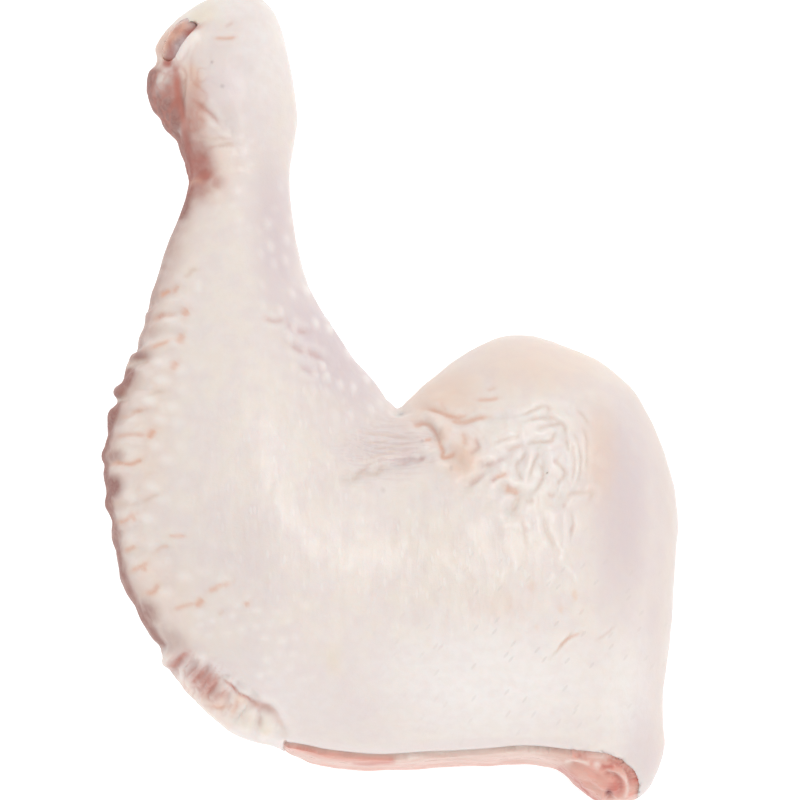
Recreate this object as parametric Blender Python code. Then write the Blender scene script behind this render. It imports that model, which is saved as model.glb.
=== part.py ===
"""A raw chicken leg, drumstick and thigh in one piece, as it lies on a table with its skin side up.

Seen from above, the leg is one closed outline through named landmarks. A membrane blown up over that
outline gives the rounded flesh, and a few named spots say how high the rim and the crown are there.
The skin is a 2 mm wrap over that body. It closes round the drumstick like a sleeve, and under the
thigh it leaves a window where the flesh shows, as it does along the cut edge. The end of the shank
bone sits in a pocket in the hock.

Plan positions and sizes are in millimetres: x to the right, y towards the hock, z up, with z = 0 on
the table. The meshes are written in metres.
"""

import math
from dataclasses import dataclass

import bmesh
import bpy
import numpy as np
from mathutils import Matrix, Vector, noise
from mathutils.geometry import delaunay_2d_cdt

MM = 0.001

# The wrap and its fit on the flesh
SKIN_THICKNESS = 2.0
SKIN_GAP = 0.4
SEAM_GAP = 0.35
BONE_GAP = 0.35

# Mesh steps: the distance between neighbouring points
SKIN_STEP = 2.9
CREASE_STEP = 2.3
FLESH_STEP = 5.5
OUTLINE_STEP = 2.9
CURVE_PARTS = 24
RIM_LOOPS = 4
RIM_FIRST_INSET = 0.22
RIM_KEEPS = 0.93
RIM_REACH = 1.1
INNER_MARGIN = 0.55

# Creases: where their shoulders swell, in widths from the bottom, and the room kept round mesh points
SHOULDER = 1.9
SHOULDER_WIDTH = 0.9
SHOULDER_SWELL = 0.45
DEEPEST_CREASE = 1.3
CREASE_APART = 0.9
CREASE_CLEAR = 1.3

# The membrane that fills the outline
MEMBRANE_CELL = 1.0
MEMBRANE_REACH = 24.0
MEMBRANE_PASSES = 2600
UNDERSIDE_BULGE = 0.80
SPOT_BLEND = 20.0

# The leg's outline from above, starting and ending at the notch behind the knee
NOTCH = (1.0, -0.5)
OUTLINE = {
    "fold shoulder": (7.5, 3.5),
    "thigh crest": (15.5, 10.0),
    "dome top": (28.0, 13.5),
    "dome shoulder": (47.5, 4.0),
    "thigh side": (57.0, -17.0),
    "thigh side, low": (57.0, -38.0),
    "hip waist": (54.5, -61.0),
    "hip side": (55.0, -68.5),
    "hip corner": (51.0, -78.0),
    "nub tip": (44.5, -81.0),
    "nub inner": (38.5, -78.0),
    "cut end": (31.0, -72.5),
    "cut middle": (10.0, -73.0),
    "cut, inner": (-3.0, -73.5),
    "cut start": (-14.5, -72.5),
    "knee corner": (-22.5, -69.0),
    "below the knee": (-30.5, -67.0),
    "knee pucker": (-42.0, -56.5),
    "knee": (-45.5, -51.0),
    "knee, back": (-50.5, -42.5),
    "knee, outer": (-54.5, -31.5),
    "calf, widest": (-57.0, -12.0),
    "calf, back": (-54.0, 1.5),
    "calf, upper": (-50.5, 11.0),
    "shin, outer": (-45.0, 30.5),
    "ankle, outer": (-40.5, 44.5),
    "heel": (-45.0, 55.0),
    "heel lump": (-49.0, 63.0),
    "mouth, outer": (-47.0, 73.5),
    "mouth, upper": (-39.0, 81.5),
    "hock top": (-29.5, 84.5),
    "hock crown": (-25.0, 82.0),
    "hock shoulder": (-21.5, 75.0),
    "hock side": (-18.5, 58.5),
    "ankle, inner": (-20.0, 43.5),
    "shin, inner": (-16.5, 24.0),
    "calf, inner": (-7.5, 8.5),
}

# Where the skin ends: the line of the cut across its top, and the window in its underside
CUT_LINE = [
    (-20.6, -68.3),
    (-16.0, -69.3),
    (-11.5, -70.2),
    (-2.0, -71.0),
    (8.0, -70.5),
    (18.0, -70.0),
    (27.5, -69.5),
    (36.5, -70.5),
    (43.5, -71.5),
    (48.0, -74.0),
    (49.5, -77.0),
    (49.0, -80.0),
    (48.0, -84.0),
]
WINDOW = [
    (4.0, -9.0),
    (15.0, -2.0),
    (28.0, -0.5),
    (39.0, -6.0),
    (44.5, -20.0),
    (45.0, -40.0),
    (43.5, -60.0),
    (46.0, -82.0),
    (10.0, -90.0),
    (-20.0, -80.0),
    (-24.0, -64.0),
    (-30.0, -50.0),
    (-25.0, -32.0),
    (-10.0, -18.0),
]
WINDOW_DEPTH = 3.2
CUT_LEAD = (-2.5, -4.5)
CUTTER_REACH = 60.0
CUTTER_END = -100.0

# Hock pocket and the bone's end in it
POCKET_CENTRE = (-42.0, 71.9, 21.0)
POCKET_SIZE = (2.2, 4.9, 6.5)
POCKET_TURN = math.radians(-38.0)
BONE_CENTRE = (-37.2, 68.2, 14.6)
BONE_KNOB = (4.5, 5.2, 5.4)
BONE_KNOB_SPREAD = 3.1
BONE_STUB_RADIUS = 3.4
BONE_STUB_LENGTH = 20.0
BONE_AXIS = Vector((0.36, -0.92, -0.05)).normalized()


@dataclass(frozen=True)
class Spot:
    """A named place on the leg, with the height of its rim and of its crown above the table."""

    name: str
    x: float
    y: float
    rim: float
    crown: float


SPOTS = (
    Spot("hock", -33.0, 64.0, 13.5, 27.5),
    Spot("ankle", -29.8, 43.5, 13.5, 23.5),
    Spot("shin", -31.5, 22.0, 15.0, 31.0),
    Spot("calf", -32.0, -4.0, 16.0, 40.0),
    Spot("knee", -28.0, -34.0, 13.0, 41.0),
    Spot("fold", 2.0, -12.0, 13.0, 31.0),
    Spot("mid thigh", 10.0, -42.0, 6.0, 38.5),
    Spot("dome", 28.0, -12.0, 11.0, 34.0),
    Spot("thigh", 34.0, -40.0, 8.5, 36.0),
    Spot("cut edge", 12.0, -66.0, 3.0, 24.0),
    Spot("hip", 46.0, -70.0, 6.0, 19.0),
)


@dataclass(frozen=True)
class Crease:
    """A sharp valley pressed into the skin along a path seen from above."""

    name: str
    width: float
    depth: float
    path: tuple


CREASES = (
    Crease("notch fold", 1.1, 0.9, ((5.5, -4.0), (10.5, -5.5), (13.5, -6.5), (17.0, -5.0))),
    Crease("second notch fold", 1.0, 0.8, ((11.5, -8.0), (15.0, -7.5), (20.5, -6.5))),
    Crease("hook fold", 1.2, 1.2, ((5.0, -6.5), (8.0, -8.5), (10.0, -12.5), (13.0, -15.0))),
    Crease("web edge", 1.2, 1.0, ((-9.0, -20.0), (-5.0, -18.5), (0.5, -16.5), (8.0, -14.0))),
    Crease("lower hook", 1.1, 0.9, ((15.0, -21.0), (18.0, -19.0), (19.5, -17.5))),
    Crease("middle fold", 1.0, 0.8, ((17.5, -17.5), (21.0, -15.5), (24.5, -14.5))),
    Crease("long fold", 1.0, 0.7, ((20.5, -13.5), (28.0, -12.0), (32.5, -10.0))),
    Crease("top fold", 1.0, 0.6, ((24.5, -6.5), (27.5, -6.0), (30.5, -4.0))),
    Crease("low fold", 1.1, 0.8, ((22.5, -21.0), (25.5, -22.0), (23.5, -26.5))),
    Crease("pucker edge", 1.1, 0.7, ((-40.0, -54.0), (-33.5, -56.5), (-27.5, -61.0), (-21.0, -66.5))),
    Crease("heel lump", 1.2, 0.8, ((-41.5, 63.0), (-40.0, 54.5), (-37.5, 48.0))),
    Crease("heel fold", 1.0, 0.5, ((-38.0, 58.0), (-34.5, 56.0), (-31.5, 53.0))),
    Crease("ankle fold", 1.1, 0.5, ((-39.0, 45.0), (-33.0, 45.0), (-27.0, 44.5))),
)


@dataclass(frozen=True)
class Pleat:
    """A curved fold in the loose skin over the thigh, an arc about PLEAT_CENTRE between two angles."""

    radius: float
    top: float
    bottom: float


PLEAT_CENTRE = (21.6, -16.0)
PLEAT_WIDTH = 0.95
PLEAT_DEPTH = 0.7
PLEATS = (Pleat(4.4, 40, -40), Pleat(7.8, 25, -45), Pleat(13.4, 50, -35), Pleat(16.0, 30, -20))

# The slanting creases down the back of the drumstick, from the shin to below the calf
BACK_TOP = (-46.5, 22.0)
BACK_END = (-49.5, -43.0)
BACK_PITCH = 5.6
BACK_LENGTH = 7.5
BACK_SLANT = math.radians(14.0)
BACK_BEND = 0.12
BACK_UNEVEN = 0.5
BACK_WIDTH = 1.1
BACK_DEPTH = 0.65

# The short creases that draw the skin up at the knee, across the pucker's edge
PUCKER_START = (-41.0, -54.5)
PUCKER_END = (-23.5, -65.5)
PUCKER_COUNT = 6
PUCKER_LENGTH = 4.5
PUCKER_SLANT = math.radians(48.0)
PUCKER_WIDTH = 0.9
PUCKER_DEPTH = 0.7


def smooth_path(points, step, closed=False):
    """Points one step apart along the curve that runs smoothly through the given points."""
    given = [Vector(p) for p in points]
    if closed:
        given = [given[-1], *given, given[0], given[1]]
    else:
        given = [given[0] * 2 - given[1], *given, given[-1] * 2 - given[-2]]
    fine = []
    for a, b, c, d in zip(given, given[1:], given[2:], given[3:]):
        leave, arrive = (c - a) / 2, (d - b) / 2
        for part in range(CURVE_PARTS):
            t = part / CURVE_PARTS
            fine.append(
                b * (2 * t**3 - 3 * t**2 + 1)
                + leave * (t**3 - 2 * t**2 + t)
                + c * (3 * t**2 - 2 * t**3)
                + arrive * (t**3 - t**2)
            )
    fine.append(given[-2].copy())
    line = np.array([p[:] for p in fine])
    travelled = np.concatenate([[0], np.cumsum(np.linalg.norm(np.diff(line, axis=0), axis=1))])
    count = max(2, round(travelled[-1] / step))
    at = np.linspace(0, travelled[-1], count + 1)
    evenly = np.stack([np.interp(at, travelled, line[:, k]) for k in range(line.shape[1])], axis=1)
    return evenly[:-1] if closed else evenly


def leg_outline(step):
    """The outline from above, as points one step apart. The notch stays a sharp corner."""
    return smooth_path([NOTCH, *OUTLINE.values(), NOTCH], step)[:-1]


def distance_to(points, line, closed=True):
    """How far each plan point is from a line of points."""
    starts = line if closed else line[:-1]
    ends = np.roll(line, -1, axis=0) if closed else line[1:]
    along = ends - starts
    best = np.full(len(points), np.inf)
    for start, run in zip(starts, along):
        share = np.clip((points - start) @ run / max(run @ run, 1e-9), 0, 1)
        best = np.minimum(best, np.linalg.norm(points - start - share[:, None] * run, axis=1))
    return best


def inside(points, loop):
    """Which plan points lie within a closed loop."""
    found = np.zeros(len(points), bool)
    x, y = points[:, 0], points[:, 1]
    for (ax, ay), (bx, by) in zip(loop, np.roll(loop, -1, axis=0)):
        if ay != by:
            crosses = (ay > y) != (by > y)
            found ^= crosses & (x < (bx - ax) * (y - ay) / (by - ay) + ax)
    return found


class Membrane:
    """A rubber sheet held on the outline and blown up from below. Its root is a round, fleshy height."""

    def __init__(self, loop):
        """Relaxes the sheet on a square grid until it is still."""
        self.low = loop.min(axis=0) - 4 * MEMBRANE_CELL
        size = np.ceil((loop.max(axis=0) - self.low) / MEMBRANE_CELL).astype(int) + 5
        xs = self.low[0] + MEMBRANE_CELL * np.arange(size[0])
        ys = self.low[1] + MEMBRANE_CELL * np.arange(size[1])
        grid = np.stack(np.meshgrid(xs, ys, indexing="ij"), axis=-1).reshape(-1, 2)
        held = ~inside(grid, loop).reshape(size[0], size[1])
        lift = 2 * MEMBRANE_CELL**2
        stiff = 4 + (MEMBRANE_CELL / MEMBRANE_REACH) ** 2
        sheet = np.zeros(held.shape)
        for _ in range(MEMBRANE_PASSES):
            around = np.zeros(held.shape)
            around[1:-1, 1:-1] = sheet[:-2, 1:-1] + sheet[2:, 1:-1] + sheet[1:-1, :-2] + sheet[1:-1, 2:]
            sheet = (around + lift) / stiff
            sheet[held] = 0
        self.sheet = sheet
        self.loop = loop

    def at(self, points):
        """The height of the blown-up sheet at plan points, without the gains of the spots."""
        place = (points - self.low) / MEMBRANE_CELL
        cell = np.floor(place).astype(int)
        cell = np.clip(cell, 0, np.array(self.sheet.shape) - 2)
        tx, ty = (place - cell).T
        i, j = cell.T
        flat = (
            self.sheet[i, j] * (1 - tx) * (1 - ty)
            + self.sheet[i + 1, j] * tx * (1 - ty)
            + self.sheet[i, j + 1] * (1 - tx) * ty
            + self.sheet[i + 1, j + 1] * tx * ty
        )
        return np.sqrt(np.maximum(flat, 0))


def spot_fields(points, membrane):
    """The rim's height and the crown's gain at plan points, blended between the spots."""
    places = np.array([(spot.x, spot.y) for spot in SPOTS])
    rims = np.array([spot.rim for spot in SPOTS])
    crowns = np.array([spot.crown for spot in SPOTS])
    gains = (crowns - rims) / membrane.at(places)
    apart = np.linalg.norm(points[:, None, :] - places[None, :, :], axis=2)
    weights = np.exp(-((apart / SPOT_BLEND) ** 2)) + 1e-6 / (1 + apart)
    weights /= weights.sum(axis=1, keepdims=True)
    return weights @ rims, weights @ gains


def body_heights(points, membrane):
    """The top, the underside and the rim of the leg's body at plan points. It rests flat on z = 0."""
    rim, gain = spot_fields(points, membrane)
    blown = membrane.at(points)
    return rim + gain * blown, np.maximum(rim - UNDERSIDE_BULGE * blown, 0), rim


def hex_points(loop, step, margin):
    """A honeycomb of plan points, one step apart, that keeps a margin to the loop."""
    low, high = loop.min(axis=0), loop.max(axis=0)
    rows = []
    for row in range(int((high[1] - low[1]) / (step * math.sqrt(0.75))) + 1):
        y = low[1] + row * step * math.sqrt(0.75)
        xs = np.arange(low[0] + (row % 2) * step / 2, high[0], step)
        rows.append(np.stack([xs, np.full(len(xs), y)], axis=1))
    grid = np.concatenate(rows)
    grid = grid[inside(grid, loop)]
    return grid[distance_to(grid, loop) > margin]


def rim_points(loop, step):
    """Loops of plan points just inside the outline, closer to it the steeper the rim is there."""
    ahead, behind = np.roll(loop, -1, axis=0), np.roll(loop, 1, axis=0)
    tangent = ahead - behind
    tangent /= np.linalg.norm(tangent, axis=1, keepdims=True)
    inward = np.stack([tangent[:, 1], -tangent[:, 0]], axis=1)
    made = []
    for number in range(1, RIM_LOOPS + 1):
        inset = RIM_FIRST_INSET * (number * step / OUTLINE_STEP) ** 2
        ring = loop + inward * inset
        ring = ring[inside(ring, loop)]
        made.append(ring[distance_to(ring, loop) > RIM_KEEPS * inset])
        if inset > RIM_REACH * step:
            break
    return np.concatenate(made), inset


def crease_points(loop, creases):
    """Plan points along the bottom of each crease and along its two shoulders."""
    rows = []
    for crease in creases:
        line = smooth_path(crease.path, CREASE_STEP)
        across = np.gradient(line, axis=0)[:, ::-1] * (1, -1)
        across *= SHOULDER * crease.width / np.linalg.norm(across, axis=1, keepdims=True)
        rows += [line, line + across, line - across]
    found = np.concatenate(rows)
    found = found[inside(found, loop)]
    found = found[distance_to(found, loop) > CREASE_APART / 2]
    kept = []
    for point in found:
        if all(np.hypot(*(point - other)) > CREASE_APART for other in kept):
            kept.append(point)
    return np.array(kept)


def plan_triangles(loop, step, creases=()):
    """Triangles that fill the outline: points and faces, with the outline's own points first."""
    turned = loop[::-1] if signed_area(loop) > 0 else loop
    rims, last = rim_points(turned, step)
    inner = np.concatenate([rims, hex_points(turned, step, last + INNER_MARGIN * step)])
    if creases:
        lines = crease_points(turned, creases)
        apart = np.linalg.norm(inner[:, None, :] - lines[None, :, :], axis=2).min(axis=1)
        inner = np.concatenate([lines, inner[apart > CREASE_CLEAR]])
    points = [Vector(p) for p in np.concatenate([turned, inner])]
    count = len(turned)
    edges = [(k, (k + 1) % count) for k in range(count)]
    verts, _, faces, *_ = delaunay_2d_cdt(points, edges, [], 1, 1e-5)
    return np.array([v[:] for v in verts]), [tuple(face) for face in faces], count


def signed_area(loop):
    """The loop's area, positive where it runs anticlockwise."""
    nxt = np.roll(loop, -1, axis=0)
    return 0.5 * float(np.sum(loop[:, 0] * nxt[:, 1] - nxt[:, 0] * loop[:, 1]))


def back_creases(outline):
    """Creases that start at the back's outline and slant up and inwards, no two of one length."""
    tops = np.linalg.norm(outline - np.array(BACK_TOP), axis=1)
    ends = np.linalg.norm(outline - np.array(BACK_END), axis=1)
    first, last = sorted((int(tops.argmin()), int(ends.argmin())))
    back = outline[first : last + 1]
    walked = np.concatenate([[0], np.cumsum(np.linalg.norm(np.diff(back, axis=0), axis=1))])
    made = []
    for number in range(int(walked[-1] / BACK_PITCH)):
        uneven = BACK_UNEVEN * noise.noise(Vector((number * 1.7, 0.4, 9.1)))
        at = (number + 0.5 + uneven) * BACK_PITCH
        start = np.array([np.interp(at, walked, back[:, k]) for k in range(2)])
        length = BACK_LENGTH * (1 + uneven)
        heading = np.array((math.cos(BACK_SLANT), math.sin(BACK_SLANT)))
        bend = np.array((0, math.copysign(BACK_BEND * length, uneven)))
        path = (start, start + length / 2 * heading + bend, start + length * heading)
        made.append(Crease(f"back {number + 1}", BACK_WIDTH, BACK_DEPTH * (1 + uneven), path))
    return made


def pucker_creases():
    """Short creases across the pucker's edge, evenly along it."""
    start, end = np.array(PUCKER_START), np.array(PUCKER_END)
    heading = PUCKER_LENGTH / 2 * np.array((math.cos(PUCKER_SLANT), math.sin(PUCKER_SLANT)))
    made = []
    for number in range(PUCKER_COUNT):
        middle = start + (end - start) * (number + 0.5) / PUCKER_COUNT
        path = (middle - heading, middle, middle + heading)
        made.append(Crease(f"pucker {number + 1}", PUCKER_WIDTH, PUCKER_DEPTH, path))
    return made


def pleat_creases():
    """The arcs of the pleats as creases."""
    made = []
    for pleat in PLEATS:
        angles = np.radians(np.linspace(pleat.top, pleat.bottom, 5))
        path = np.array(PLEAT_CENTRE) + pleat.radius * np.stack([np.cos(angles), np.sin(angles)], axis=1)
        made.append(Crease(f"pleat {pleat.radius}", PLEAT_WIDTH, PLEAT_DEPTH, tuple(path)))
    return made


def all_creases(outline):
    """The named creases and those that follow a rule."""
    return [*CREASES, *pleat_creases(), *back_creases(outline), *pucker_creases()]


def crease_relief(points, creases):
    """The creases' valleys and the swells beside them, in millimetres along the normal."""
    total = np.zeros(len(points))
    for crease in creases:
        line = smooth_path(crease.path, 1.0)
        away = distance_to(points, line, closed=False) / crease.width
        swell = SHOULDER_SWELL * np.exp(-(((away - SHOULDER) / SHOULDER_WIDTH) ** 2))
        total += crease.depth * (swell - np.exp(-(away**2)))
    return np.clip(total, -DEEPEST_CREASE, DEEPEST_CREASE)


def leg_body(name, membrane, outline_step, top_step, under_step, inset=0.0, creases=()):
    """The leg's closed body as a mesh object, moved inwards by inset all over."""
    loop = leg_outline(outline_step)
    top, top_faces, count = plan_triangles(loop, top_step, creases)
    under, under_faces, _ = plan_triangles(loop, under_step)
    high, _, rim = body_heights(top, membrane)
    _, low, _ = body_heights(under, membrane)
    high[:count] = rim[:count]
    bm = bmesh.new()
    upper = [bm.verts.new((x, y, z)) for (x, y), z in zip(top, high)]
    lower = upper[:count] + [bm.verts.new((x, y, z)) for (x, y), z in zip(under[count:], low[count:])]
    for face in top_faces:
        bm.faces.new([upper[k] for k in face])
    for face in under_faces:
        bm.faces.new([lower[k] for k in reversed(face)])
    bmesh.ops.recalc_face_normals(bm, faces=bm.faces)
    bm.normal_update()
    normals = np.array([v.normal[:] for v in bm.verts])
    move = np.full(len(normals), -inset)
    if creases:
        move[: len(upper)] += crease_relief(top, creases)
    for vert, normal, far in zip(bm.verts, normals, move):
        vert.co += Vector(normal) * far
        if inset == 0:
            vert.co.z = max(vert.co.z, 0)
    return mesh_object(name, bm)


def mesh_object(name, bm):
    """Writes a bmesh that is in millimetres to a new object in metres."""
    bmesh.ops.scale(bm, vec=(MM, MM, MM), verts=bm.verts)
    bmesh.ops.recalc_face_normals(bm, faces=bm.faces)
    mesh = bpy.data.meshes.new(name)
    bm.to_mesh(mesh)
    bm.free()
    obj = bpy.data.objects.new(name, mesh)
    bpy.context.scene.collection.objects.link(obj)
    return obj


def helper(obj):
    """Marks an object as a cutter that isn't part of the leg."""
    obj.hide_render = True
    obj.display_type = "WIRE"
    return obj


def prism(name, loop, low, high):
    """An upright prism over a closed plan loop, from z = low to z = high."""
    bm = bmesh.new()
    base = bm.faces.new([bm.verts.new((x, y, low)) for x, y in loop])
    made = bmesh.ops.extrude_face_region(bm, geom=[base])
    tops = [item for item in made["geom"] if isinstance(item, bmesh.types.BMVert)]
    bmesh.ops.translate(bm, vec=(0, 0, high - low), verts=tops)
    return helper(mesh_object(name, bm))


def shrunk(loop, by):
    """A closed plan loop moved inwards by a distance."""
    turned = loop[::-1] if signed_area(loop) > 0 else loop
    tangent = np.roll(turned, -1, axis=0) - np.roll(turned, 1, axis=0)
    tangent /= np.linalg.norm(tangent, axis=1, keepdims=True)
    return turned + by * np.stack([tangent[:, 1], -tangent[:, 0]], axis=1)


def opening_cutter(name, back_off=0.0):
    """All that lies outside the skin's edge: the window under the thigh and the space beyond the cut."""
    window = prism(name, shrunk(smooth_path(WINDOW, 2.5, closed=True), back_off), -5.0, WINDOW_DEPTH)
    line = smooth_path(CUT_LINE, 2.5)
    start = line[0] + np.array(CUT_LEAD)
    beyond = [(line[-1][0], CUTTER_END), (start[0], CUTTER_END), tuple(start)]
    cut = prism(f"{name}_cut", shrunk(np.concatenate([line, beyond]), back_off), -8.0, CUTTER_REACH)
    boolean(window, cut, "UNION")
    return window


def ellipsoid(name, centre, radii, turn=0.0, grow=0.0, detail=3):
    """A rounded lump, turned about the upright axis."""
    bm = bmesh.new()
    bmesh.ops.create_icosphere(bm, subdivisions=detail, radius=1.0)
    size = Matrix.Diagonal((*(r + grow for r in radii), 1.0))
    bm.transform(Matrix.Translation(centre) @ Matrix.Rotation(turn, 4, "Z") @ size)
    return mesh_object(name, bm)


def boolean(obj, other, operation, solver="EXACT"):
    """Adds a Boolean modifier."""
    modifier = obj.modifiers.new(f"{operation.lower()} {other.name}", "BOOLEAN")
    modifier.operation = operation
    modifier.object = other
    modifier.solver = solver
    return modifier


def material(name, colour, roughness):
    """A plain Principled finish."""
    made = bpy.data.materials.new(name)
    made.use_nodes = True
    shader = made.node_tree.nodes["Principled BSDF"]
    shader.inputs["Base Color"].default_value = (*colour, 1.0)
    shader.inputs["Roughness"].default_value = roughness
    shader.inputs["Metallic"].default_value = 0.0
    made.diffuse_color = (*colour, 1.0)
    return made


def shank_bone(name, grow=0.0):
    """The bone's end: two gristly knobs side by side on a short stub of shaft."""
    side = Vector((-BONE_AXIS.y, BONE_AXIS.x, 0)).normalized()
    centre = Vector(BONE_CENTRE)
    left = ellipsoid(name, centre - side * BONE_KNOB_SPREAD, BONE_KNOB, 0.4, grow)
    right = helper(ellipsoid(f"{name}_knob", centre + side * BONE_KNOB_SPREAD, BONE_KNOB, 0.4, grow))
    bm = bmesh.new()
    bmesh.ops.create_cone(
        bm,
        cap_ends=True,
        segments=16,
        radius1=BONE_STUB_RADIUS + grow,
        radius2=BONE_STUB_RADIUS + 0.8 + grow,
        depth=BONE_STUB_LENGTH + 2 * grow,
    )
    turn = BONE_AXIS.to_track_quat("-Z", "Y").to_matrix().to_4x4()
    bm.transform(Matrix.Translation(centre + BONE_AXIS * BONE_STUB_LENGTH / 2) @ turn)
    stub = helper(mesh_object(f"{name}_stub", bm))
    boolean(left, right, "UNION")
    boolean(left, stub, "UNION")
    return left


def pocket_cutter():
    """The hollow in the hock that shows the bone's end."""
    return helper(ellipsoid("pocket", POCKET_CENTRE, POCKET_SIZE, POCKET_TURN, detail=4))


def build_skin(membrane, pocket):
    """The wrap of skin, with its creases, its window underneath and its open cut edge."""
    creases = all_creases(membrane.loop)
    skin = leg_body("skin", membrane, OUTLINE_STEP, SKIN_STEP, FLESH_STEP, creases=creases)
    core = leg_body("skin_core", membrane, FLESH_STEP, FLESH_STEP, FLESH_STEP, SKIN_THICKNESS)
    boolean(skin, helper(core), "DIFFERENCE")
    boolean(skin, opening_cutter("skin_opening"), "DIFFERENCE")
    boolean(skin, pocket, "DIFFERENCE")
    return skin


def build_flesh(membrane, pocket):
    """The meat: a core under the skin, and what fills the window and the cut edge."""
    inset = SKIN_THICKNESS + SKIN_GAP
    flesh = leg_body("flesh", membrane, FLESH_STEP, FLESH_STEP, FLESH_STEP, inset)
    plug = helper(leg_body("plug", membrane, FLESH_STEP, FLESH_STEP, FLESH_STEP))
    boolean(plug, opening_cutter("flesh_opening", SEAM_GAP), "INTERSECT", "MANIFOLD")
    boolean(flesh, plug, "UNION", "MANIFOLD")
    boolean(flesh, pocket, "DIFFERENCE", "MANIFOLD")
    boolean(flesh, helper(shank_bone("bone_room", BONE_GAP)), "DIFFERENCE", "MANIFOLD")
    return flesh


def recentre(nodes):
    """Moves every object together until the middle of the nodes' box is over x = 0, y = 0."""
    bpy.context.view_layer.update()
    graph = bpy.context.evaluated_depsgraph_get()
    corners = np.array([corner for node in nodes for corner in node.evaluated_get(graph).bound_box])
    middle = (corners.min(axis=0) + corners.max(axis=0)) / 2
    for obj in bpy.data.objects:
        obj.location = (-middle[0], -middle[1], 0.0)


def main():
    """Clears the scene and builds the leg."""
    for old in list(bpy.data.objects):
        bpy.data.objects.remove(old)
    membrane = Membrane(leg_outline(1.0))
    pocket = pocket_cutter()
    skin = build_skin(membrane, pocket)
    flesh = build_flesh(membrane, pocket)
    bone = shank_bone("shank_bone")
    for obj, finish in (
        (skin, material("skin", (0.83, 0.73, 0.68), 0.42)),
        (flesh, material("flesh", (0.78, 0.45, 0.40), 0.38)),
        (bone, material("gristle", (0.72, 0.66, 0.66), 0.30)),
    ):
        obj.data.materials.append(finish)
        obj.data.shade_smooth()
    recentre([skin, flesh, bone])


main()
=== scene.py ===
"""Dresses the raw chicken leg: creased skin, meat at the cut, gristle in the hock and the studio round it."""

import logging
import math
from dataclasses import dataclass
from enum import Enum

import bmesh
import bpy
import numpy as np
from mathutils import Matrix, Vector
from mathutils.bvhtree import BVHTree


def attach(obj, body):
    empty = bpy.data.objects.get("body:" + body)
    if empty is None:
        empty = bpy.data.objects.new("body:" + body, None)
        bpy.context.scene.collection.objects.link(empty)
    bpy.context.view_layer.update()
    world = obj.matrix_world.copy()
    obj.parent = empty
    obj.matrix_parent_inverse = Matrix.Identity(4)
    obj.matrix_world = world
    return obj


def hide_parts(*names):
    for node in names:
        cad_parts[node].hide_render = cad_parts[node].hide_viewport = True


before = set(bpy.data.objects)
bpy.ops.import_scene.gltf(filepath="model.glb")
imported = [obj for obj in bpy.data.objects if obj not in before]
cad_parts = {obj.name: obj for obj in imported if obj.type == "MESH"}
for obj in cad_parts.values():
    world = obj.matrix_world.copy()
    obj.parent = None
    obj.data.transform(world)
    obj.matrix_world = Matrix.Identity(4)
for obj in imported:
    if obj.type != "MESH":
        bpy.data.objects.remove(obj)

MM = 0.001
LOG = logging.getLogger("chicken_leg")

Pixel = tuple[float, float]


def smoothstep(low: float, high: float, value: np.ndarray) -> np.ndarray:
    """Eases value from 0 at low to 1 at high.

    Args:
        low: where the step starts.
        high: where the step ends, which may lie below low.
        value: the numbers to ease.

    Returns:
        Numbers from 0 to 1.
    """
    share = np.clip((value - low) / (high - low), 0.0, 1.0)
    return share * share * (3.0 - 2.0 * share)


def scatter_value(*lattice: np.ndarray, seed: float) -> np.ndarray:
    """Gives each lattice point its own repeatable number.

    Args:
        *lattice: whole-number coordinates, one array an axis.
        seed: tells one scatter from another.

    Returns:
        Numbers from 0 to 1.
    """
    weights, seed_weight, spread = (127.1, 311.7, 74.7), 19.19, 43758.5453
    phase = sum(weight * axis for weight, axis in zip(weights, lattice)) + seed_weight * seed
    return np.mod(np.sin(phase) * spread, 1.0)


def lattice_noise(points: np.ndarray, size: tuple[float, float, float], seed: float) -> np.ndarray:
    """Smooth noise that repeats nowhere near, read at points.

    Args:
        points: one row a point, in metres.
        size: how long a swell is along x, y and z, in millimetres.
        seed: tells one noise from another.

    Returns:
        Numbers from -1 to 1, one a point.
    """
    place = points / (np.array(size) * MM)
    cell = np.floor(place)
    share = place - cell
    ease = share * share * (3.0 - 2.0 * share)
    total = np.zeros(len(points))
    for corner in np.ndindex(2, 2, 2):
        weight = np.prod(np.where(corner, ease, 1.0 - ease), axis=1)
        total += weight * scatter_value(*(cell + corner).T, seed=seed)
    return 2.0 * total - 1.0


def ridged(value: np.ndarray) -> np.ndarray:
    """Turns smooth noise into soft valleys between round ridges, from -1 to 1."""
    softness, steepness = 0.004, 2.4
    rim = np.minimum(steepness * np.sqrt(value**2 + softness), 1.0)
    return 0.6 * value + 0.8 * rim - 0.5


def bell(distance: np.ndarray, width: float, at: float = 0.0) -> np.ndarray:
    """1 where distance is at, and less on both sides of it."""
    return np.exp(-(((distance - at) / width) ** 2))


def placed(name: str, data: bpy.types.ID) -> bpy.types.Object:
    """A new object of the scene, at the origin."""
    made = bpy.data.objects.new(name, data)
    bpy.context.scene.collection.objects.link(made)
    return made


def mesh_of(shape: bmesh.types.BMesh, name: str) -> bpy.types.Mesh:
    """The shape as a mesh, which ends the shape."""
    mesh = bpy.data.meshes.new(name)
    shape.to_mesh(mesh)
    shape.free()
    return mesh


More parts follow.
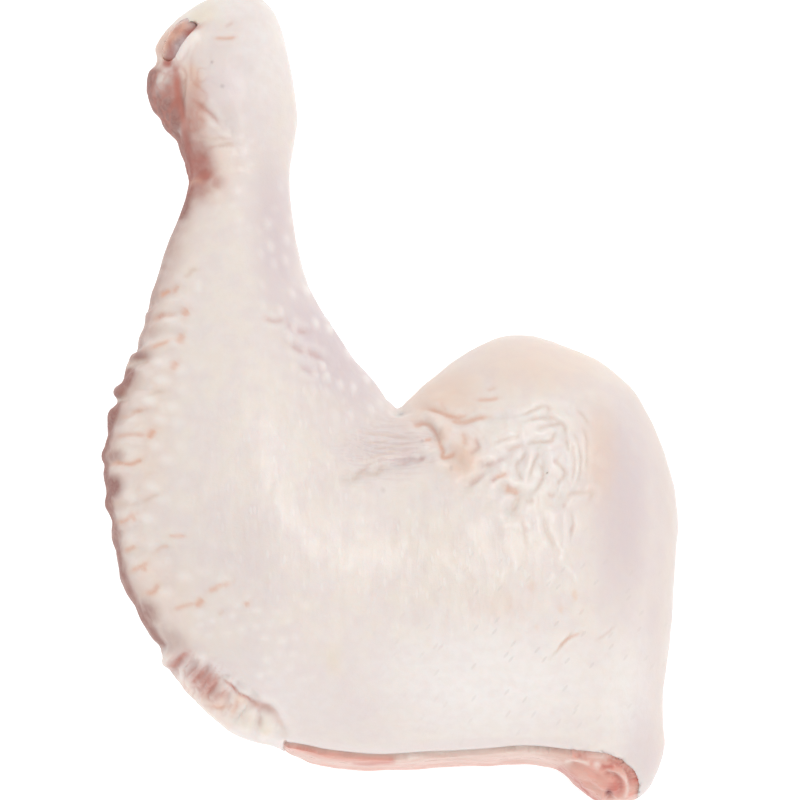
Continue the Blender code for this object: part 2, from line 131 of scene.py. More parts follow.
@dataclass(frozen=True)
class PhotoView:
    """The place the photograph was taken from: nearly straight above, a little to the hip's side."""

    elevation: float = 80.0
    distance: float = 900.0 * MM
    aim: tuple[float, float, float] = (1.77 * MM, -2.08 * MM, 15.0 * MM)
    picture: int = 800
    pixel: float = 0.2 * MM

    def pixels_of(self, points: np.ndarray) -> tuple[np.ndarray, np.ndarray]:
        """Where points of the leg lie in the photograph.

        Args:
            points: one row a point, in metres.

        Returns:
            The pixels to the right and the pixels down.
        """
        rise = math.radians(self.elevation)
        x, y, z = (points - np.array(self.aim)).T
        depth = self.distance + y * math.cos(rise) - z * math.sin(rise)
        scale = self.distance / depth / self.pixel
        middle = self.picture / 2
        return middle + scale * x, middle - scale * (y * math.sin(rise) + z * math.cos(rise))

    def facing(self, normals: np.ndarray) -> np.ndarray:
        """How squarely each normal faces the camera, from -1 to 1."""
        rise = math.radians(self.elevation)
        return normals @ np.array([0.0, -math.cos(rise), math.sin(rise)])

    def build(self) -> None:
        """Makes the camera and gives it to the scene."""
        rise = math.radians(self.elevation)
        data = bpy.data.cameras.new("photo_camera")
        data.angle = 2.0 * math.atan(self.picture / 2 * self.pixel / self.distance)
        camera = placed("photo_camera", data)
        away = Vector((0.0, -math.cos(rise), math.sin(rise)))
        camera.location = Vector(self.aim) + self.distance * away
        camera.rotation_euler = (math.pi / 2 - rise, 0.0, 0.0)
        bpy.context.scene.camera = camera


PHOTO = PhotoView()


class Tint(Enum):
    """The colour at the bottom of a fold, the skin's crease colour darkened as painted shade, and the painted
    highlight on top of a ridge.
    """

    BEIGE = "fold_beige"
    PEACH = "fold_peach"
    BLUSH = "fold_blush"
    PAINTED_HIGHLIGHT = "painted_highlight"


class Tone(Enum):
    """A colour that the skin turns to in places, over its cream ground.

    Along the left rims the mauve is partly painted shade, and at the skin's cut edge and on the flesh beside
    it the white is partly painted light.
    """

    LILAC = "lilac"
    PEACH = "peach"
    WHITE = "white"
    YELLOW = "yellow"
    MAUVE = "mauve"
    BLUSH = "blush"
    GREY = "grey"


@dataclass(frozen=True)
class Fold:
    """One valley in the surface, along a smooth line through places of the photograph.

    Its tint lies along the bottom: the skin's crease colour, darkened there as painted shade.
    With the painted highlight's tint it is a ridge instead, with a painted highlight along its top.
    The width is in millimetres, and the depth and the tint's strength are shares of the piece's own.
    """

    name: str
    width: float
    depth: float
    tint: Tint
    path: tuple[Pixel, ...]
    tint_strength: float = 1.0

    SPAN_STEPS = 5
    REACH_IN_WIDTHS = 8.0
    FAR = 99.0
    END_RAMP = 5.0
    END_SHARE = 0.25

    def line(self) -> np.ndarray:
        """The path as a close row of points, smooth through each named place."""
        places = np.array(self.path, float)
        padded = np.vstack([2 * places[0] - places[1], places, 2 * places[-1] - places[-2]])
        share = np.linspace(0.0, 1.0, self.SPAN_STEPS, endpoint=False)[:, None]
        spans = []
        for before, start, end, after in zip(padded, padded[1:], padded[2:], padded[3:]):
            bend = 2 * before - 5 * start + 4 * end - after
            twist = 3 * (start - end) + after - before
            spans.append(start + 0.5 * share * (end - before + share * (bend + share * twist)))
        return np.vstack([*spans, places[-1:]])

    def nearness(self, across: np.ndarray, down: np.ndarray) -> tuple[np.ndarray, np.ndarray]:
        """How far points are from the fold's line, and how much of its depth it has there.

        Args:
            across: the points' pixels to the right.
            down: the points' pixels down.

        Returns:
            The distance in millimetres, and the share of the depth, which fades to the fold's two ends.
        """
        line = self.line()
        margin = self.REACH_IN_WIDTHS * self.width / (PHOTO.pixel / MM)
        low, high = line.min(0) - margin, line.max(0) + margin
        near = (across > low[0]) & (across < high[0]) & (down > low[1]) & (down < high[1])
        distance = np.full(len(across), self.FAR)
        share = np.zeros(len(across))
        spots = np.column_stack([across[near], down[near]])
        best = np.full(len(spots), np.inf)
        along = np.zeros(len(spots))
        steps = len(line) - 1
        for index, (start, end) in enumerate(zip(line, line[1:])):
            run = end - start
            part = np.clip((spots - start) @ run / max(run @ run, 1e-9), 0.0, 1.0)
            gap = np.hypot(*(spots - start - part[:, None] * run).T)
            closer = gap < best
            best[closer] = gap[closer]
            along[closer] = (index + part[closer]) / steps
        distance[near] = best * PHOTO.pixel / MM
        share[near] = np.clip(self.END_RAMP * np.minimum(along, 1.0 - along), self.END_SHARE, 1.0)
        return distance, share


def folds_of(tint: Tint, *rows: tuple) -> tuple[Fold, ...]:
    """Folds of one tint.

    Args:
        tint: the tint of them all.
        *rows: for each its name, width and depth, how strong its tint is, and the places along it.

    Returns:
        The folds.
    """
    made = []
    for name, width, depth, tint_strength, *path in rows:
        made.append(Fold(name, width, depth, tint, tuple(path), tint_strength))
    return tuple(made)


class Place:
    """A part of the surface, at named places of the photograph, which fades out at its edge."""

    def amount(self, across: np.ndarray, down: np.ndarray) -> np.ndarray:
        """How much of it there is at points.

        Args:
            across: the points' pixels to the right.
            down: the points' pixels down.

        Returns:
            A number for each point: its full strength in the middle, and less outwards.
        """
        raise NotImplementedError


@dataclass(frozen=True)
class Patch(Place):
    """A soft-edged oval."""

    name: str
    at: Pixel
    reach: tuple[float, float]
    strength: float = 1.0
    turn: float = 0.0

    EDGE = 1.4

    def amount(self, across: np.ndarray, down: np.ndarray) -> np.ndarray:
        """How much of the oval there is at points."""
        lean = math.radians(self.turn)
        right, below = across - self.at[0], down - self.at[1]
        along = (right * math.cos(lean) - below * math.sin(lean)) / self.reach[0]
        beside = (right * math.sin(lean) + below * math.cos(lean)) / self.reach[1]
        return self.strength * np.exp(-(along**2 + beside**2) ** self.EDGE)


@dataclass(frozen=True)
class Band(Place):
    """A soft-edged strip along a line."""

    name: str
    path: tuple[Pixel, ...]
    reach: float
    strength: float = 1.0

    def amount(self, across: np.ndarray, down: np.ndarray) -> np.ndarray:
        """How much of the strip there is at points."""
        width = self.reach * PHOTO.pixel / MM
        distance, _ = Fold(self.name, width, 0.0, Tint.BEIGE, self.path).nearness(across, down)
        return self.strength * bell(distance, width)


def strongest(places: tuple[Place, ...], across: np.ndarray, down: np.ndarray) -> np.ndarray:
    """The most that any of places has at points.

    Args:
        places: the places, which may overlap.
        across: the points' pixels to the right.
        down: the points' pixels down.

    Returns:
        A number for each point, and 0 outside them all.
    """
    most = np.zeros(len(across))
    for place in places:
        np.maximum(most, place.amount(across, down), out=most)
    return most


@dataclass(frozen=True)
class Bump:
    """A place that stands proud of the surface round it, or lies below it."""

    place: Patch
    height: float


@dataclass(frozen=True)
class Pull:
    """A place drawn to one side, in millimetres: its upper surface, or the whole of it, down to the table."""

    place: Patch
    shift: tuple[float, float, float]
    whole: bool = False


@dataclass(frozen=True)
class Stipple(Place):
    """Small oval bumps in staggered rows, such as those round feather roots."""

    name: str
    spacing: tuple[float, float]
    size: tuple[float, float]
    height: float
    turn: float
    seed: float
    where: tuple[Patch, ...]
    density: float = 1.0
    jitter: float = 0.55

    EDGE = 1.2
    LOWEST = 0.6

    def amount(self, across: np.ndarray, down: np.ndarray) -> np.ndarray:
        """How high the bumps stand at points, from 0 to 1."""
        lean = math.radians(self.turn)
        along = across * math.cos(lean) - down * math.sin(lean)
        beside = across * math.sin(lean) + down * math.cos(lean)
        column, row = along / self.spacing[0], beside / self.spacing[1]
        best = np.zeros(len(across))
        for step_row in (-1, 0, 1):
            cell_row = np.floor(row) + step_row
            shift = 0.5 * np.mod(cell_row, 2.0)
            for step_column in (-1, 0, 1):
                cell_column = np.floor(column - shift) + step_column
                luck = scatter_value(cell_column, cell_row, seed=self.seed)
                aside = scatter_value(cell_column, cell_row, seed=self.seed + 1) - 0.5
                below = scatter_value(cell_column, cell_row, seed=self.seed + 2) - 0.5
                right = (column - shift - cell_column - 0.5 - self.jitter * aside) * self.spacing[0]
                under = (row - cell_row - 0.5 - self.jitter * below) * self.spacing[1]
                oval = (right / self.size[0]) ** 2 + (under / self.size[1]) ** 2
                tall = self.LOWEST + (1.0 - self.LOWEST) * luck / self.density
                bump = np.exp(-(oval**self.EDGE)) * tall
                best = np.maximum(best, np.where(luck < self.density, bump, 0.0))
        return best * strongest(self.where, across, down)


class Value:
    """A number in a material: a socket that sums are written with."""

    def __init__(self, graph: "Graph", socket: bpy.types.NodeSocket) -> None:
        """Wraps a socket of graph."""
        self.graph = graph
        self.socket = socket

    def _maths(self, operation: str, first: object, second: object) -> "Value":
        """Adds one Math node and wraps its result."""
        made = self.graph.node("ShaderNodeMath", {"operation": operation}, {0: first, 1: second})
        return Value(self.graph, made.outputs[0])

    def __add__(self, other: object) -> "Value":
        """Self plus other."""
        return self._maths("ADD", self, other)

    def __radd__(self, other: object) -> "Value":
        """Other plus self."""
        return self._maths("ADD", other, self)

    def __sub__(self, other: object) -> "Value":
        """Self less other."""
        return self._maths("SUBTRACT", self, other)

    def __rsub__(self, other: object) -> "Value":
        """Other less self."""
        return self._maths("SUBTRACT", other, self)

    def __mul__(self, other: object) -> "Value":
        """Self times other."""
        return self._maths("MULTIPLY", self, other)

    def __rmul__(self, other: object) -> "Value":
        """Other times self."""
        return self._maths("MULTIPLY", other, self)

    def clamped(self) -> "Value":
        """Self, kept from 0 to 1."""
        return self._maths("MINIMUM", self._maths("MAXIMUM", self, 0.0), 1.0)

    def eased(self, low: float, high: float) -> "Value":
        """Self, eased from 0 at low to 1 at high."""
        limits = {"Value": self, "From Min": low, "From Max": high}
        made = self.graph.node("ShaderNodeMapRange", {"interpolation_type": "SMOOTHSTEP"}, limits)
        return Value(self.graph, made.outputs[0])


class Graph:
    """One material and the nodes in it."""

    def __init__(self, name: str) -> None:
        """Starts an empty material."""
        self.material = bpy.data.materials.new(name)
        self.material.use_nodes = True
        self.tree = self.material.node_tree
        self.tree.nodes.clear()

    def node(self, kind: str, settings: dict | None = None, inputs: dict | None = None) -> bpy.types.Node:
        """Adds a node.

        Args:
            kind: the node's type.
            settings: its own properties, set first.
            inputs: what its sockets get, by name or number: a Value, a socket or a plain value.

        Returns:
            The node.
        """
        made = self.tree.nodes.new(kind)
        for name, setting in (settings or {}).items():
            setattr(made, name, setting)
        for name, given in (inputs or {}).items():
            source = given.socket if isinstance(given, Value) else given
            if isinstance(source, bpy.types.NodeSocket):
                self.tree.links.new(source, made.inputs[name])
            else:
                made.inputs[name].default_value = source
        return made

    def attribute(self, name: str) -> Value:
        """A number that the mesh keeps at each point."""
        made = self.node("ShaderNodeAttribute", {"attribute_name": name})
        return Value(self, made.outputs["Fac"])

    def place(self) -> bpy.types.NodeSocket:
        """Where the shaded point is, in the leg's own frame."""
        return self.node("ShaderNodeTexCoord").outputs["Object"]

    def noise(self, size: float, detail: float, stretch: tuple[float, float, float] = (1, 1, 1)) -> Value:
        """Noise in the leg's own frame.

        Args:
            size: how long a swell is, in millimetres.
            detail: how many finer layers lie over it.
            stretch: how many times longer a swell is along x, y and z.

        Returns:
            Numbers round a half.
        """
        squeeze = tuple(1.0 / (size * MM * pull) for pull in stretch)
        mapped = self.node("ShaderNodeMapping", {}, {"Vector": self.place(), "Scale": squeeze})
        inputs = {"Vector": mapped.outputs[0], "Scale": 1.0, "Detail": detail}
        return Value(self, self.node("ShaderNodeTexNoise", {}, inputs).outputs[0])

    def dashes(self, cell: tuple[float, float], turn: float, reach: float) -> Value:
        """Scattered short dashes, seen from above.

        Args:
            cell: how far apart they are across and along, in millimetres.
            turn: how far they lean from the leg's length, in degrees.
            reach: half their size, as a share of the cell.

        Returns:
            1 on a dash and 0 beside it.
        """
        turned = self.node("ShaderNodeVectorRotate", {"rotation_type": "Z_AXIS"}, {"Vector": self.place()})
        turned.inputs["Angle"].default_value = math.radians(turn)
        scale = (1.0 / (cell[0] * MM), 1.0 / (cell[1] * MM), 1.0)
        mapped = self.node("ShaderNodeMapping", {}, {"Vector": turned.outputs[0], "Scale": scale})
        cells = self.node(
            "ShaderNodeTexVoronoi", {"voronoi_dimensions": "2D"}, {"Vector": mapped.outputs[0], "Scale": 1.0}
        )
        return Value(self, cells.outputs["Distance"]).eased(reach, 0.5 * reach)

    def blend(self, share: object, under: object, over: object) -> bpy.types.NodeSocket:
        """Mixes two colours.

        Args:
            share: how much of over there is, from 0 to 1.
            under: the first colour.
            over: the second colour.

        Returns:
            The mixed colour.
        """
        made = self.node("ShaderNodeMix", {"data_type": "RGBA"}, {0: share, 6: under, 7: over})
        return made.outputs[2]

    def layered(self, ground: bpy.types.NodeSocket, shades: dict, weight: object, level: float) -> object:
        """Lays colours over the ground, each where the mesh keeps its attribute.

        Args:
            ground: the colour below.
            shades: the red, green and blue of each Tone or Tint, from 0 to 255.
            weight: what every attribute is multiplied by.
            level: how much of the colours the surface keeps.

        Returns:
            The colour's socket.
        """
        for name, shade in shades.items():
            share = self.attribute(name.value) * weight
            ground = self.blend(share.clamped(), ground, pigment(*shade, level))
        return ground

    def surface(self, inputs: dict, height: Value | None = None, relief: float = 0.1) -> bpy.types.Material:
        """Ends the material in one Principled shader.

        Args:
            inputs: what the shader's sockets get.
            height: fine relief for its normal, from 0 to 1.
            relief: how high that relief is, in millimetres.

        Returns:
            The material.
        """
        if height is not None:
            rise = {"Height": height, "Distance": relief * MM, "Strength": 1.0}
            inputs = {**inputs, "Normal": self.node("ShaderNodeBump", {}, rise).outputs[0]}
        shader = self.node("ShaderNodeBsdfPrincipled", {}, inputs)
        self.node("ShaderNodeOutputMaterial", {}, {"Surface": shader.outputs[0]})
        return self.material


def pigment(red: int, green: int, blue: int, level: float = 1.0) -> tuple[float, float, float, float]:
    """A colour as the eye sees it, from 0 to 255, made a shader's colour.

    Args:
        red: the red part.
        green: the green part.
        blue: the blue part.
        level: how much of it the surface keeps, where the light makes up the rest.

    Returns:
        Red, green and blue in linear light, and 1.
    """
    parts = (part / 255.0 for part in (red, green, blue))
    linear = (part / 12.92 if part <= 0.04045 else ((part + 0.055) / 1.055) ** 2.4 for part in parts)
    return (*(level * part for part in linear), 1.0)


# Mauve is partly the skin's own darker colour and partly painted shade along the left rims; white is partly
# painted light on the skin's cut face.
SKIN_SHADES = {
    Tone.LILAC: (218, 201, 203),
    Tone.PEACH: (236, 206, 186),
    Tone.YELLOW: (234, 220, 194),
    Tone.WHITE: (245, 239, 236),
    Tone.GREY: (176, 160, 160),
    Tone.MAUVE: (150, 92, 82),
    Tone.BLUSH: (172, 86, 70),
}
# Colours at the bottom of folds and wrinkles: the skin's own warm crease colour darkened as painted shade,
# and a beige that is painted crease shade.
CREASE_COLOUR_AND_PAINTED_SHADE = {Tint.BEIGE: (226, 205, 192), Tint.PEACH: (228, 176, 150), Tint.BLUSH: (200, 128, 112)}
# White is partly pale membrane and partly painted light on the flesh in the shade under the skin's edge.
FLESH_SHADES = {
    Tone.PEACH: (236, 168, 152),
    Tone.BLUSH: (198, 98, 84),
    Tone.MAUVE: (132, 30, 28),
    Tone.WHITE: (246, 226, 216),
}
GRISTLE_SHADES = {Tone.PEACH: (226, 176, 152), Tone.BLUSH: (168, 78, 58)}


@dataclass(frozen=True)
class SkinFinish:
    """Moist raw skin: cream, with lilac, peach and white places, warm crease colour with painted shade at the
    bottom of folds, and painted highlights on ridges and bumps.
    """

    level: float = 0.83
    roughness: float = 0.42
    depth: float = 2.2 * MM

    def build(self) -> bpy.types.Material:
        """Makes the material, which reads the tones and folds that the skin's mesh keeps."""
        graph = Graph("raw_skin")
        patchy = graph.noise(4.6, 3.0).eased(0.38, 0.62)
        mottle = graph.noise(1.9, 3.0).eased(0.32, 0.68)
        grain = graph.noise(0.6, 2.0)
        colour = graph.blend(patchy, pigment(238, 227, 218, self.level), pigment(235, 223, 218, self.level))
        # The tones, with painted shade along the left rims in the mauve and painted light on the skin's cut
        # face in the white.
        colour = graph.layered(colour, SKIN_SHADES, 0.8 + 0.4 * mottle, self.level)
        colour = graph.blend(mottle * 0.14, colour, pigment(248, 242, 238, self.level))
        # Crease colour, darkened as painted shade, at the bottom of folds and wrinkles.
        colour = graph.layered(colour, CREASE_COLOUR_AND_PAINTED_SHADE, 0.75 + 0.5 * grain, self.level)
        # Painted highlight on ridges, wrinkle tops, fold shoulders and bumps, which also makes them glossier.
        painted_highlight = (graph.attribute(Tint.PAINTED_HIGHLIGHT.value) * 0.7).clamped()
        colour = graph.blend(painted_highlight, colour, pigment(250, 244, 239, self.level))
        line = graph.noise(0.7, 1.0, (8.0, 1.0, 1.0)).eased(0.5, 0.62) * graph.attribute("web")
        streak = graph.noise(1.5, 1.0, (1.0, 4.4, 1.0)).eased(0.48, 0.62) * graph.attribute("upright")
        shade = graph.noise(1.7, 1.0, (1.0, 4.0, 1.0)).eased(0.52, 0.66) * graph.attribute("upright")
        dash = graph.dashes((3.0, 9.0), 40.0, 0.11) * graph.attribute("slanting")
        fleck = graph.dashes((2.9, 8.0), -4.0, 0.13) * graph.attribute("upright")
        # Marks: the web's lines and the slanting dashes are darker, partly painted shade in their small
        # dents; the streaks and the flecks are painted highlights, and the shade mark is painted shade.
        marks = (
            (0.4 * line, (214, 192, 190)),
            (0.22 * streak, (247, 241, 236)),
            (0.14 * shade, (222, 200, 190)),
            (0.45 * dash, (206, 194, 190)),
            (0.32 * fleck, (250, 245, 240)),
        )
        for share, mark in marks:
            colour = graph.blend(share.clamped(), colour, pigment(*mark, self.level))
        dark = graph.attribute(Tone.MAUVE.value).clamped()
        roughness = (self.roughness + 0.16 * (grain - 0.5) - 0.12 * painted_highlight + 0.2 * dark).clamped()
        pebble = 0.4 * grain + 0.2 * graph.noise(0.28, 1.0) + 0.3 * (streak + fleck) - 0.5 * (line + dash)
        inputs = {
            "Base Color": colour,
            "Roughness": roughness,
            "IOR": 1.4,
            "Subsurface Weight": 0.35,
            "Subsurface Radius": (1.0, 0.55, 0.42),
            "Subsurface Scale": self.depth,
            "Specular IOR Level": 0.35,
            "Coat Weight": 0.16 * (1.0 - dark),
            "Coat Roughness": 0.22,
        }
        return graph.surface(inputs, pebble, 0.09)


@dataclass(frozen=True)
class FleshFinish:
    """Moist raw meat: pale pink, with fibres along the cut, pale membrane, darker red places, and painted
    light that makes it paler in the shade under the skin's edge.
    """

    level: float = 0.8
    roughness: float = 0.36

    def build(self) -> bpy.types.Material:
        """Makes the material, which reads the tones that the flesh's mesh keeps."""
        graph = Graph("raw_flesh")
        fibre = graph.noise(1.1, 3.0, (6.0, 1.0, 1.0)).eased(0.3, 0.7)
        mottle = graph.noise(2.4, 3.0).eased(0.3, 0.7)
        colour = graph.blend(mottle, pigment(228, 192, 178, self.level), pigment(224, 182, 168, self.level))
        colour = graph.blend(fibre * 0.4, colour, pigment(238, 210, 198, self.level))
        colour = graph.layered(colour, FLESH_SHADES, 0.75 + 0.5 * fibre, self.level)
        inputs = {
            "Base Color": colour,
            "Roughness": (self.roughness + 0.18 * (fibre - 0.5)).clamped(),
            "IOR": 1.4,
            "Subsurface Weight": 0.35,
            "Subsurface Radius": (1.0, 0.4, 0.3),
            "Subsurface Scale": 2.5 * MM,
            "Coat Weight": 0.25,
            "Coat Roughness": 0.2,
        }
        return graph.surface(inputs, 0.6 * fibre + 0.4 * graph.noise(0.5, 2.0), 0.12)


@dataclass(frozen=True)
class GristleFinish:
    """Wet bluish-grey gristle, with the peach membrane and the red hollow beside it."""

    level: float = 0.86

    def build(self) -> bpy.types.Material:
        """Makes the material, which reads the tones that the gristle's mesh keeps."""
        graph = Graph("wet_gristle")
        cloud = graph.noise(1.8, 3.0).eased(0.3, 0.7)
        colour = graph.blend(cloud, pigment(172, 148, 148, self.level), pigment(204, 184, 184, self.level))
        colour = graph.layered(colour, GRISTLE_SHADES, 0.8 + 0.4 * cloud, self.level)
        inputs = {
            "Base Color": colour,
            "Roughness": (0.22 + 0.15 * cloud).clamped(),
            "IOR": 1.4,
            "Subsurface Weight": 0.3,
            "Subsurface Radius": (1.0, 0.6, 0.5),
            "Subsurface Scale": 1.5 * MM,
            "Coat Weight": 0.25,
            "Coat Roughness": 0.15,
        }
        return graph.surface(inputs, graph.noise(0.7, 2.0), 0.08)


@dataclass(frozen=True)
class FloorFinish:
    """A plain pale table top that is lit a little from below."""

    shade: float = 0.6
    glow: float = 0.68

    def build(self) -> bpy.types.Material:
        """Makes the material."""
        graph = Graph("pale_table")
        inputs = {
            "Base Color": (self.shade, self.shade, self.shade, 1.0),
            "Roughness": 0.9,
            "Emission Color": (1.0, 1.0, 1.0, 1.0),
            "Emission Strength": self.glow,
        }
        return graph.surface(inputs)


@dataclass
class SoftPiece:
    """A soft part of the leg: a welded, finer copy of its solid, smoothed, creased and coloured in code.

    Lengths are in millimetres. The steps are how long the mesh's edges are, on plain and on folded places,
    and an edge is split from so many steps on. The rises and the turn, in degrees, are those of the rays
    that find out which faces show.
    """

    node: str
    name: str
    slot: str
    step: float
    fine_step: float
    rounds: int = 10
    passes: int = 4
    split: float = 1.45
    weld: float = 0.02
    speck: float = 0.01
    widest_gap: float = 1.1
    press: float = 0.25
    least_lean: float = 0.12
    in_place: float = 0.3
    rises: tuple[float, ...] = (50.0, 15.0, -12.0)
    turn: int = 45

    def look_outs(self) -> list[Vector]:
        """Directions in which a point has to see the open air to count as showing."""
        ways = [Vector((0.0, 0.0, 1.0))]
        for rise in self.rises:
            for turn in range(0, 360, self.turn):
                flat = math.cos(math.radians(rise))
                side = (flat * math.cos(math.radians(turn)), flat * math.sin(math.radians(turn)))
                ways.append(Vector((*side, math.sin(math.radians(rise)))))
        return ways

    def mark_showing(self, shape: bmesh.types.BMesh, solids: list[BVHTree]) -> bmesh.types.BMLayerItem:
        """Marks the faces that show from above or from the side.

        Args:
            shape: the piece's mesh.
            solids: every solid of the leg, which may hide a face.

        Returns:
            The face layer that holds 1 where a face shows.
        """
        showing = shape.faces.layers.int.new("showing")
        ways = self.look_outs()
        for face in shape.faces:
            start = face.calc_center_median() + self.weld * MM * face.normal
            for way in ways:
                if way.dot(face.normal) <= self.least_lean:
                    continue
                if not any(tree.ray_cast(start, way)[0] for tree in solids):
                    face[showing] = 1
                    break
        return showing

    def wants_fine(self, across: np.ndarray, down: np.ndarray) -> np.ndarray:
        """Which points lie where the mesh has to be finest, as a mask."""
        return np.zeros(len(across), bool)

    def refine(self, shape: bmesh.types.BMesh, showing: bmesh.types.BMLayerItem) -> None:
        """Splits long edges where the surface shows, until they are short enough for its folds.

        Args:
            shape: the piece's mesh.
            showing: the face layer that holds 1 where a face shows.
        """
        for _ in range(self.passes):
            edges = [edge for edge in shape.edges if any(face[showing] for face in edge.link_faces)]
            middles = np.array([(edge.verts[0].co + edge.verts[1].co) / 2 for edge in edges])
            lengths = np.array([edge.calc_length() for edge in edges])
            fine = self.wants_fine(*PHOTO.pixels_of(middles))
            limit = self.split * MM * np.where(fine, self.fine_step, self.step)
            long_ones = [edge for edge, split in zip(edges, lengths > limit) if split]
            if not long_ones:
                break
            bmesh.ops.subdivide_edges(shape, edges=long_ones, cuts=1)
            bmesh.ops.triangulate(shape, faces=[face for face in shape.faces if len(face.verts) > 3])

    def smooth(self, shape: bmesh.types.BMesh, showing: bmesh.types.BMLayerItem) -> None:
        """Rounds the solid's flat faces off where they show.

        Args:
            shape: the piece's mesh.
            showing: the face layer that holds 1 where a face shows.
        """
        loose = [v for v in shape.verts if all(face[showing] for face in v.link_faces)]
        for _ in range(self.rounds):
            bmesh.ops.smooth_vert(
                shape, verts=loose, factor=0.5, use_axis_x=True, use_axis_y=True, use_axis_z=True
            )

    def relief(self, points: np.ndarray, normals: np.ndarray) -> tuple[np.ndarray, dict[str, np.ndarray]]:
        """How far each point moves out along its normal, and the colours that it keeps.

        Args:
            points: one row a point, in metres.
            normals: one row a point.

        Returns:
            The heights in millimetres, and an array for each attribute's name.
        """
        raise NotImplementedError

    def pulls(self) -> tuple[Pull, ...]:
        """The places of the piece that are drawn to one side."""
        raise NotImplementedError

    def finish(self) -> bpy.types.Material:
        """The material of the piece."""
        raise NotImplementedError

    def cling(self, shape: bmesh.types.BMesh, neighbours: list[BVHTree]) -> None:
        """Presses the piece against the pieces beside it, where the solids leave a narrow gap.

        Args:
            shape: the piece's mesh.
            neighbours: the finished pieces beside it.
        """
        for tree in neighbours:
            for vertex in shape.verts:
                spot, _, _, gap = tree.find_nearest(vertex.co, self.widest_gap * MM)
                if spot is not None and gap > self.speck * MM:
                    vertex.co += (spot - vertex.co) * (1.0 + self.press * MM / gap)

    def build(self, solids: list[BVHTree], neighbours: list[BVHTree]) -> bpy.types.Object:
        """Makes the piece, in the place of its solid.

        Args:
            solids: every solid of the leg.
            neighbours: the finished pieces that it is pressed against.

        Returns:
            The piece's object.
        """
        shape = bmesh.new()
        shape.from_mesh(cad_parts[self.node].data)
        bmesh.ops.remove_doubles(shape, verts=shape.verts, dist=self.weld * MM)
        bmesh.ops.dissolve_degenerate(shape, dist=self.speck * MM, edges=shape.edges)
        shape.normal_update()
        showing = self.mark_showing(shape, solids)
        self.refine(shape, showing)
        self.smooth(shape, showing)
        self.cling(shape, neighbours)
        shape.normal_update()
        free = np.array([all(face[showing] for face in v.link_faces) for v in shape.verts], float)
        for face in shape.faces:
            face.smooth = True
        mesh = mesh_of(shape, self.name)
        self.crease(mesh, free)
        mesh.materials.append(self.finish())
        piece = placed(self.name, mesh)
        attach(piece, "root")
        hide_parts(self.node)
        LOG.info("%s: %d triangles", self.name, len(mesh.polygons))
        return piece

    def points_of(self, mesh: bpy.types.Mesh) -> tuple[np.ndarray, np.ndarray]:
        """The mesh's points and their normals, one row a point."""
        flat = np.empty(3 * len(mesh.vertices), np.float32)
        mesh.vertices.foreach_get("co", flat)
        points = flat.reshape(-1, 3).astype(float)
        mesh.vertex_normals.foreach_get("vector", flat)
        return points, flat.reshape(-1, 3).astype(float)

    def crease(self, mesh: bpy.types.Mesh, free: np.ndarray) -> None:
        """Moves the points that may move by the piece's relief and keeps its colours on the mesh.

        Args:
            mesh: the piece's mesh.
            free: 1 for each point that may move.
        """
        points, normals = self.points_of(mesh)
        across, down = PHOTO.pixels_of(points)
        above = smoothstep(-0.2, 0.3, normals[:, 2]) * free
        for pull in self.pulls():
            share = pull.place.amount(across, down) * (1.0 if pull.whole else above)
            points = points + share[:, None] * MM * np.array(pull.shift)
        mesh.vertices.foreach_set("co", points.astype(np.float32).ravel())
        mesh.update()
        points, normals = self.points_of(mesh)
        height, colours = self.relief(points, normals)
        points = points + (MM * height * free)[:, None] * normals
        points[:, 2] = np.maximum(points[:, 2], 0.0)
        mesh.vertices.foreach_set("co", points.astype(np.float32).ravel())
        for name, amount in colours.items():
            layer = mesh.attributes.new(name, "FLOAT", "POINT")
            layer.data.foreach_set("value", np.clip(amount, 0.0, 1.0).astype(np.float32))
        mesh.update()


FOLDS_AT_NOTCH = folds_of(
    Tint.PEACH,
    ("notch, above", 0.6, 0.3, 0.5, (441, 402), (443, 407), (448, 411)),
    ("notch, upper", 0.8, 0.6, 1.0, (424, 410), (434, 411), (443, 414), (449, 416), (460, 417), (474, 411)),
    ("notch, lower", 0.9, 0.6, 1.0, (449, 421), (456, 422), (465, 422), (479, 419), (491, 417)),
    ("hook", 0.8, 0.5, 0.7, (413, 421), (417, 426), (422, 424), (428, 425), (434, 431), (439, 440)),
    ("hook, end", 0.8, 0.5, 1.0, (439, 440), (441, 447), (443, 452), (443, 457), (451, 456), (457, 450)),
    ("hook, side", 0.6, 0.3, 0.9, (424, 440), (428, 440), (432, 439)),
    ("loop, left", 0.9, 0.4, 0.6, (462, 431), (465, 440), (463, 446)),
    ("low slant, end", 0.8, 0.5, 0.9, (495, 478), (499, 476), (503, 475), (508, 472)),
    ("dome dash", 0.7, 0.2, 0.7, (475, 400), (488, 400), (501, 398)),
    ("dome dash, top", 0.6, 0.2, 0.4, (487, 391), (496, 388)),
) + folds_of(
    Tint.BLUSH,
    ("hook, dark", 0.5, 0.1, 0.35, (430, 427), (434, 431), (439, 440), (441, 447)),
    ("loop, right", 0.7, 0.6, 0.35, (473, 434), (476, 441), (478, 447), (473, 452), (469, 456)),
    ("low slant, left", 0.8, 0.6, 0.4, (468, 487), (474, 482), (480, 477), (486, 470)),
    ("low slant, right", 0.8, 0.6, 0.5, (491, 482), (494, 479), (497, 477)),
    ("middle", 0.8, 0.7, 0.35, (482, 461), (484, 466), (488, 465), (493, 463), (500, 460), (511, 455)),
)

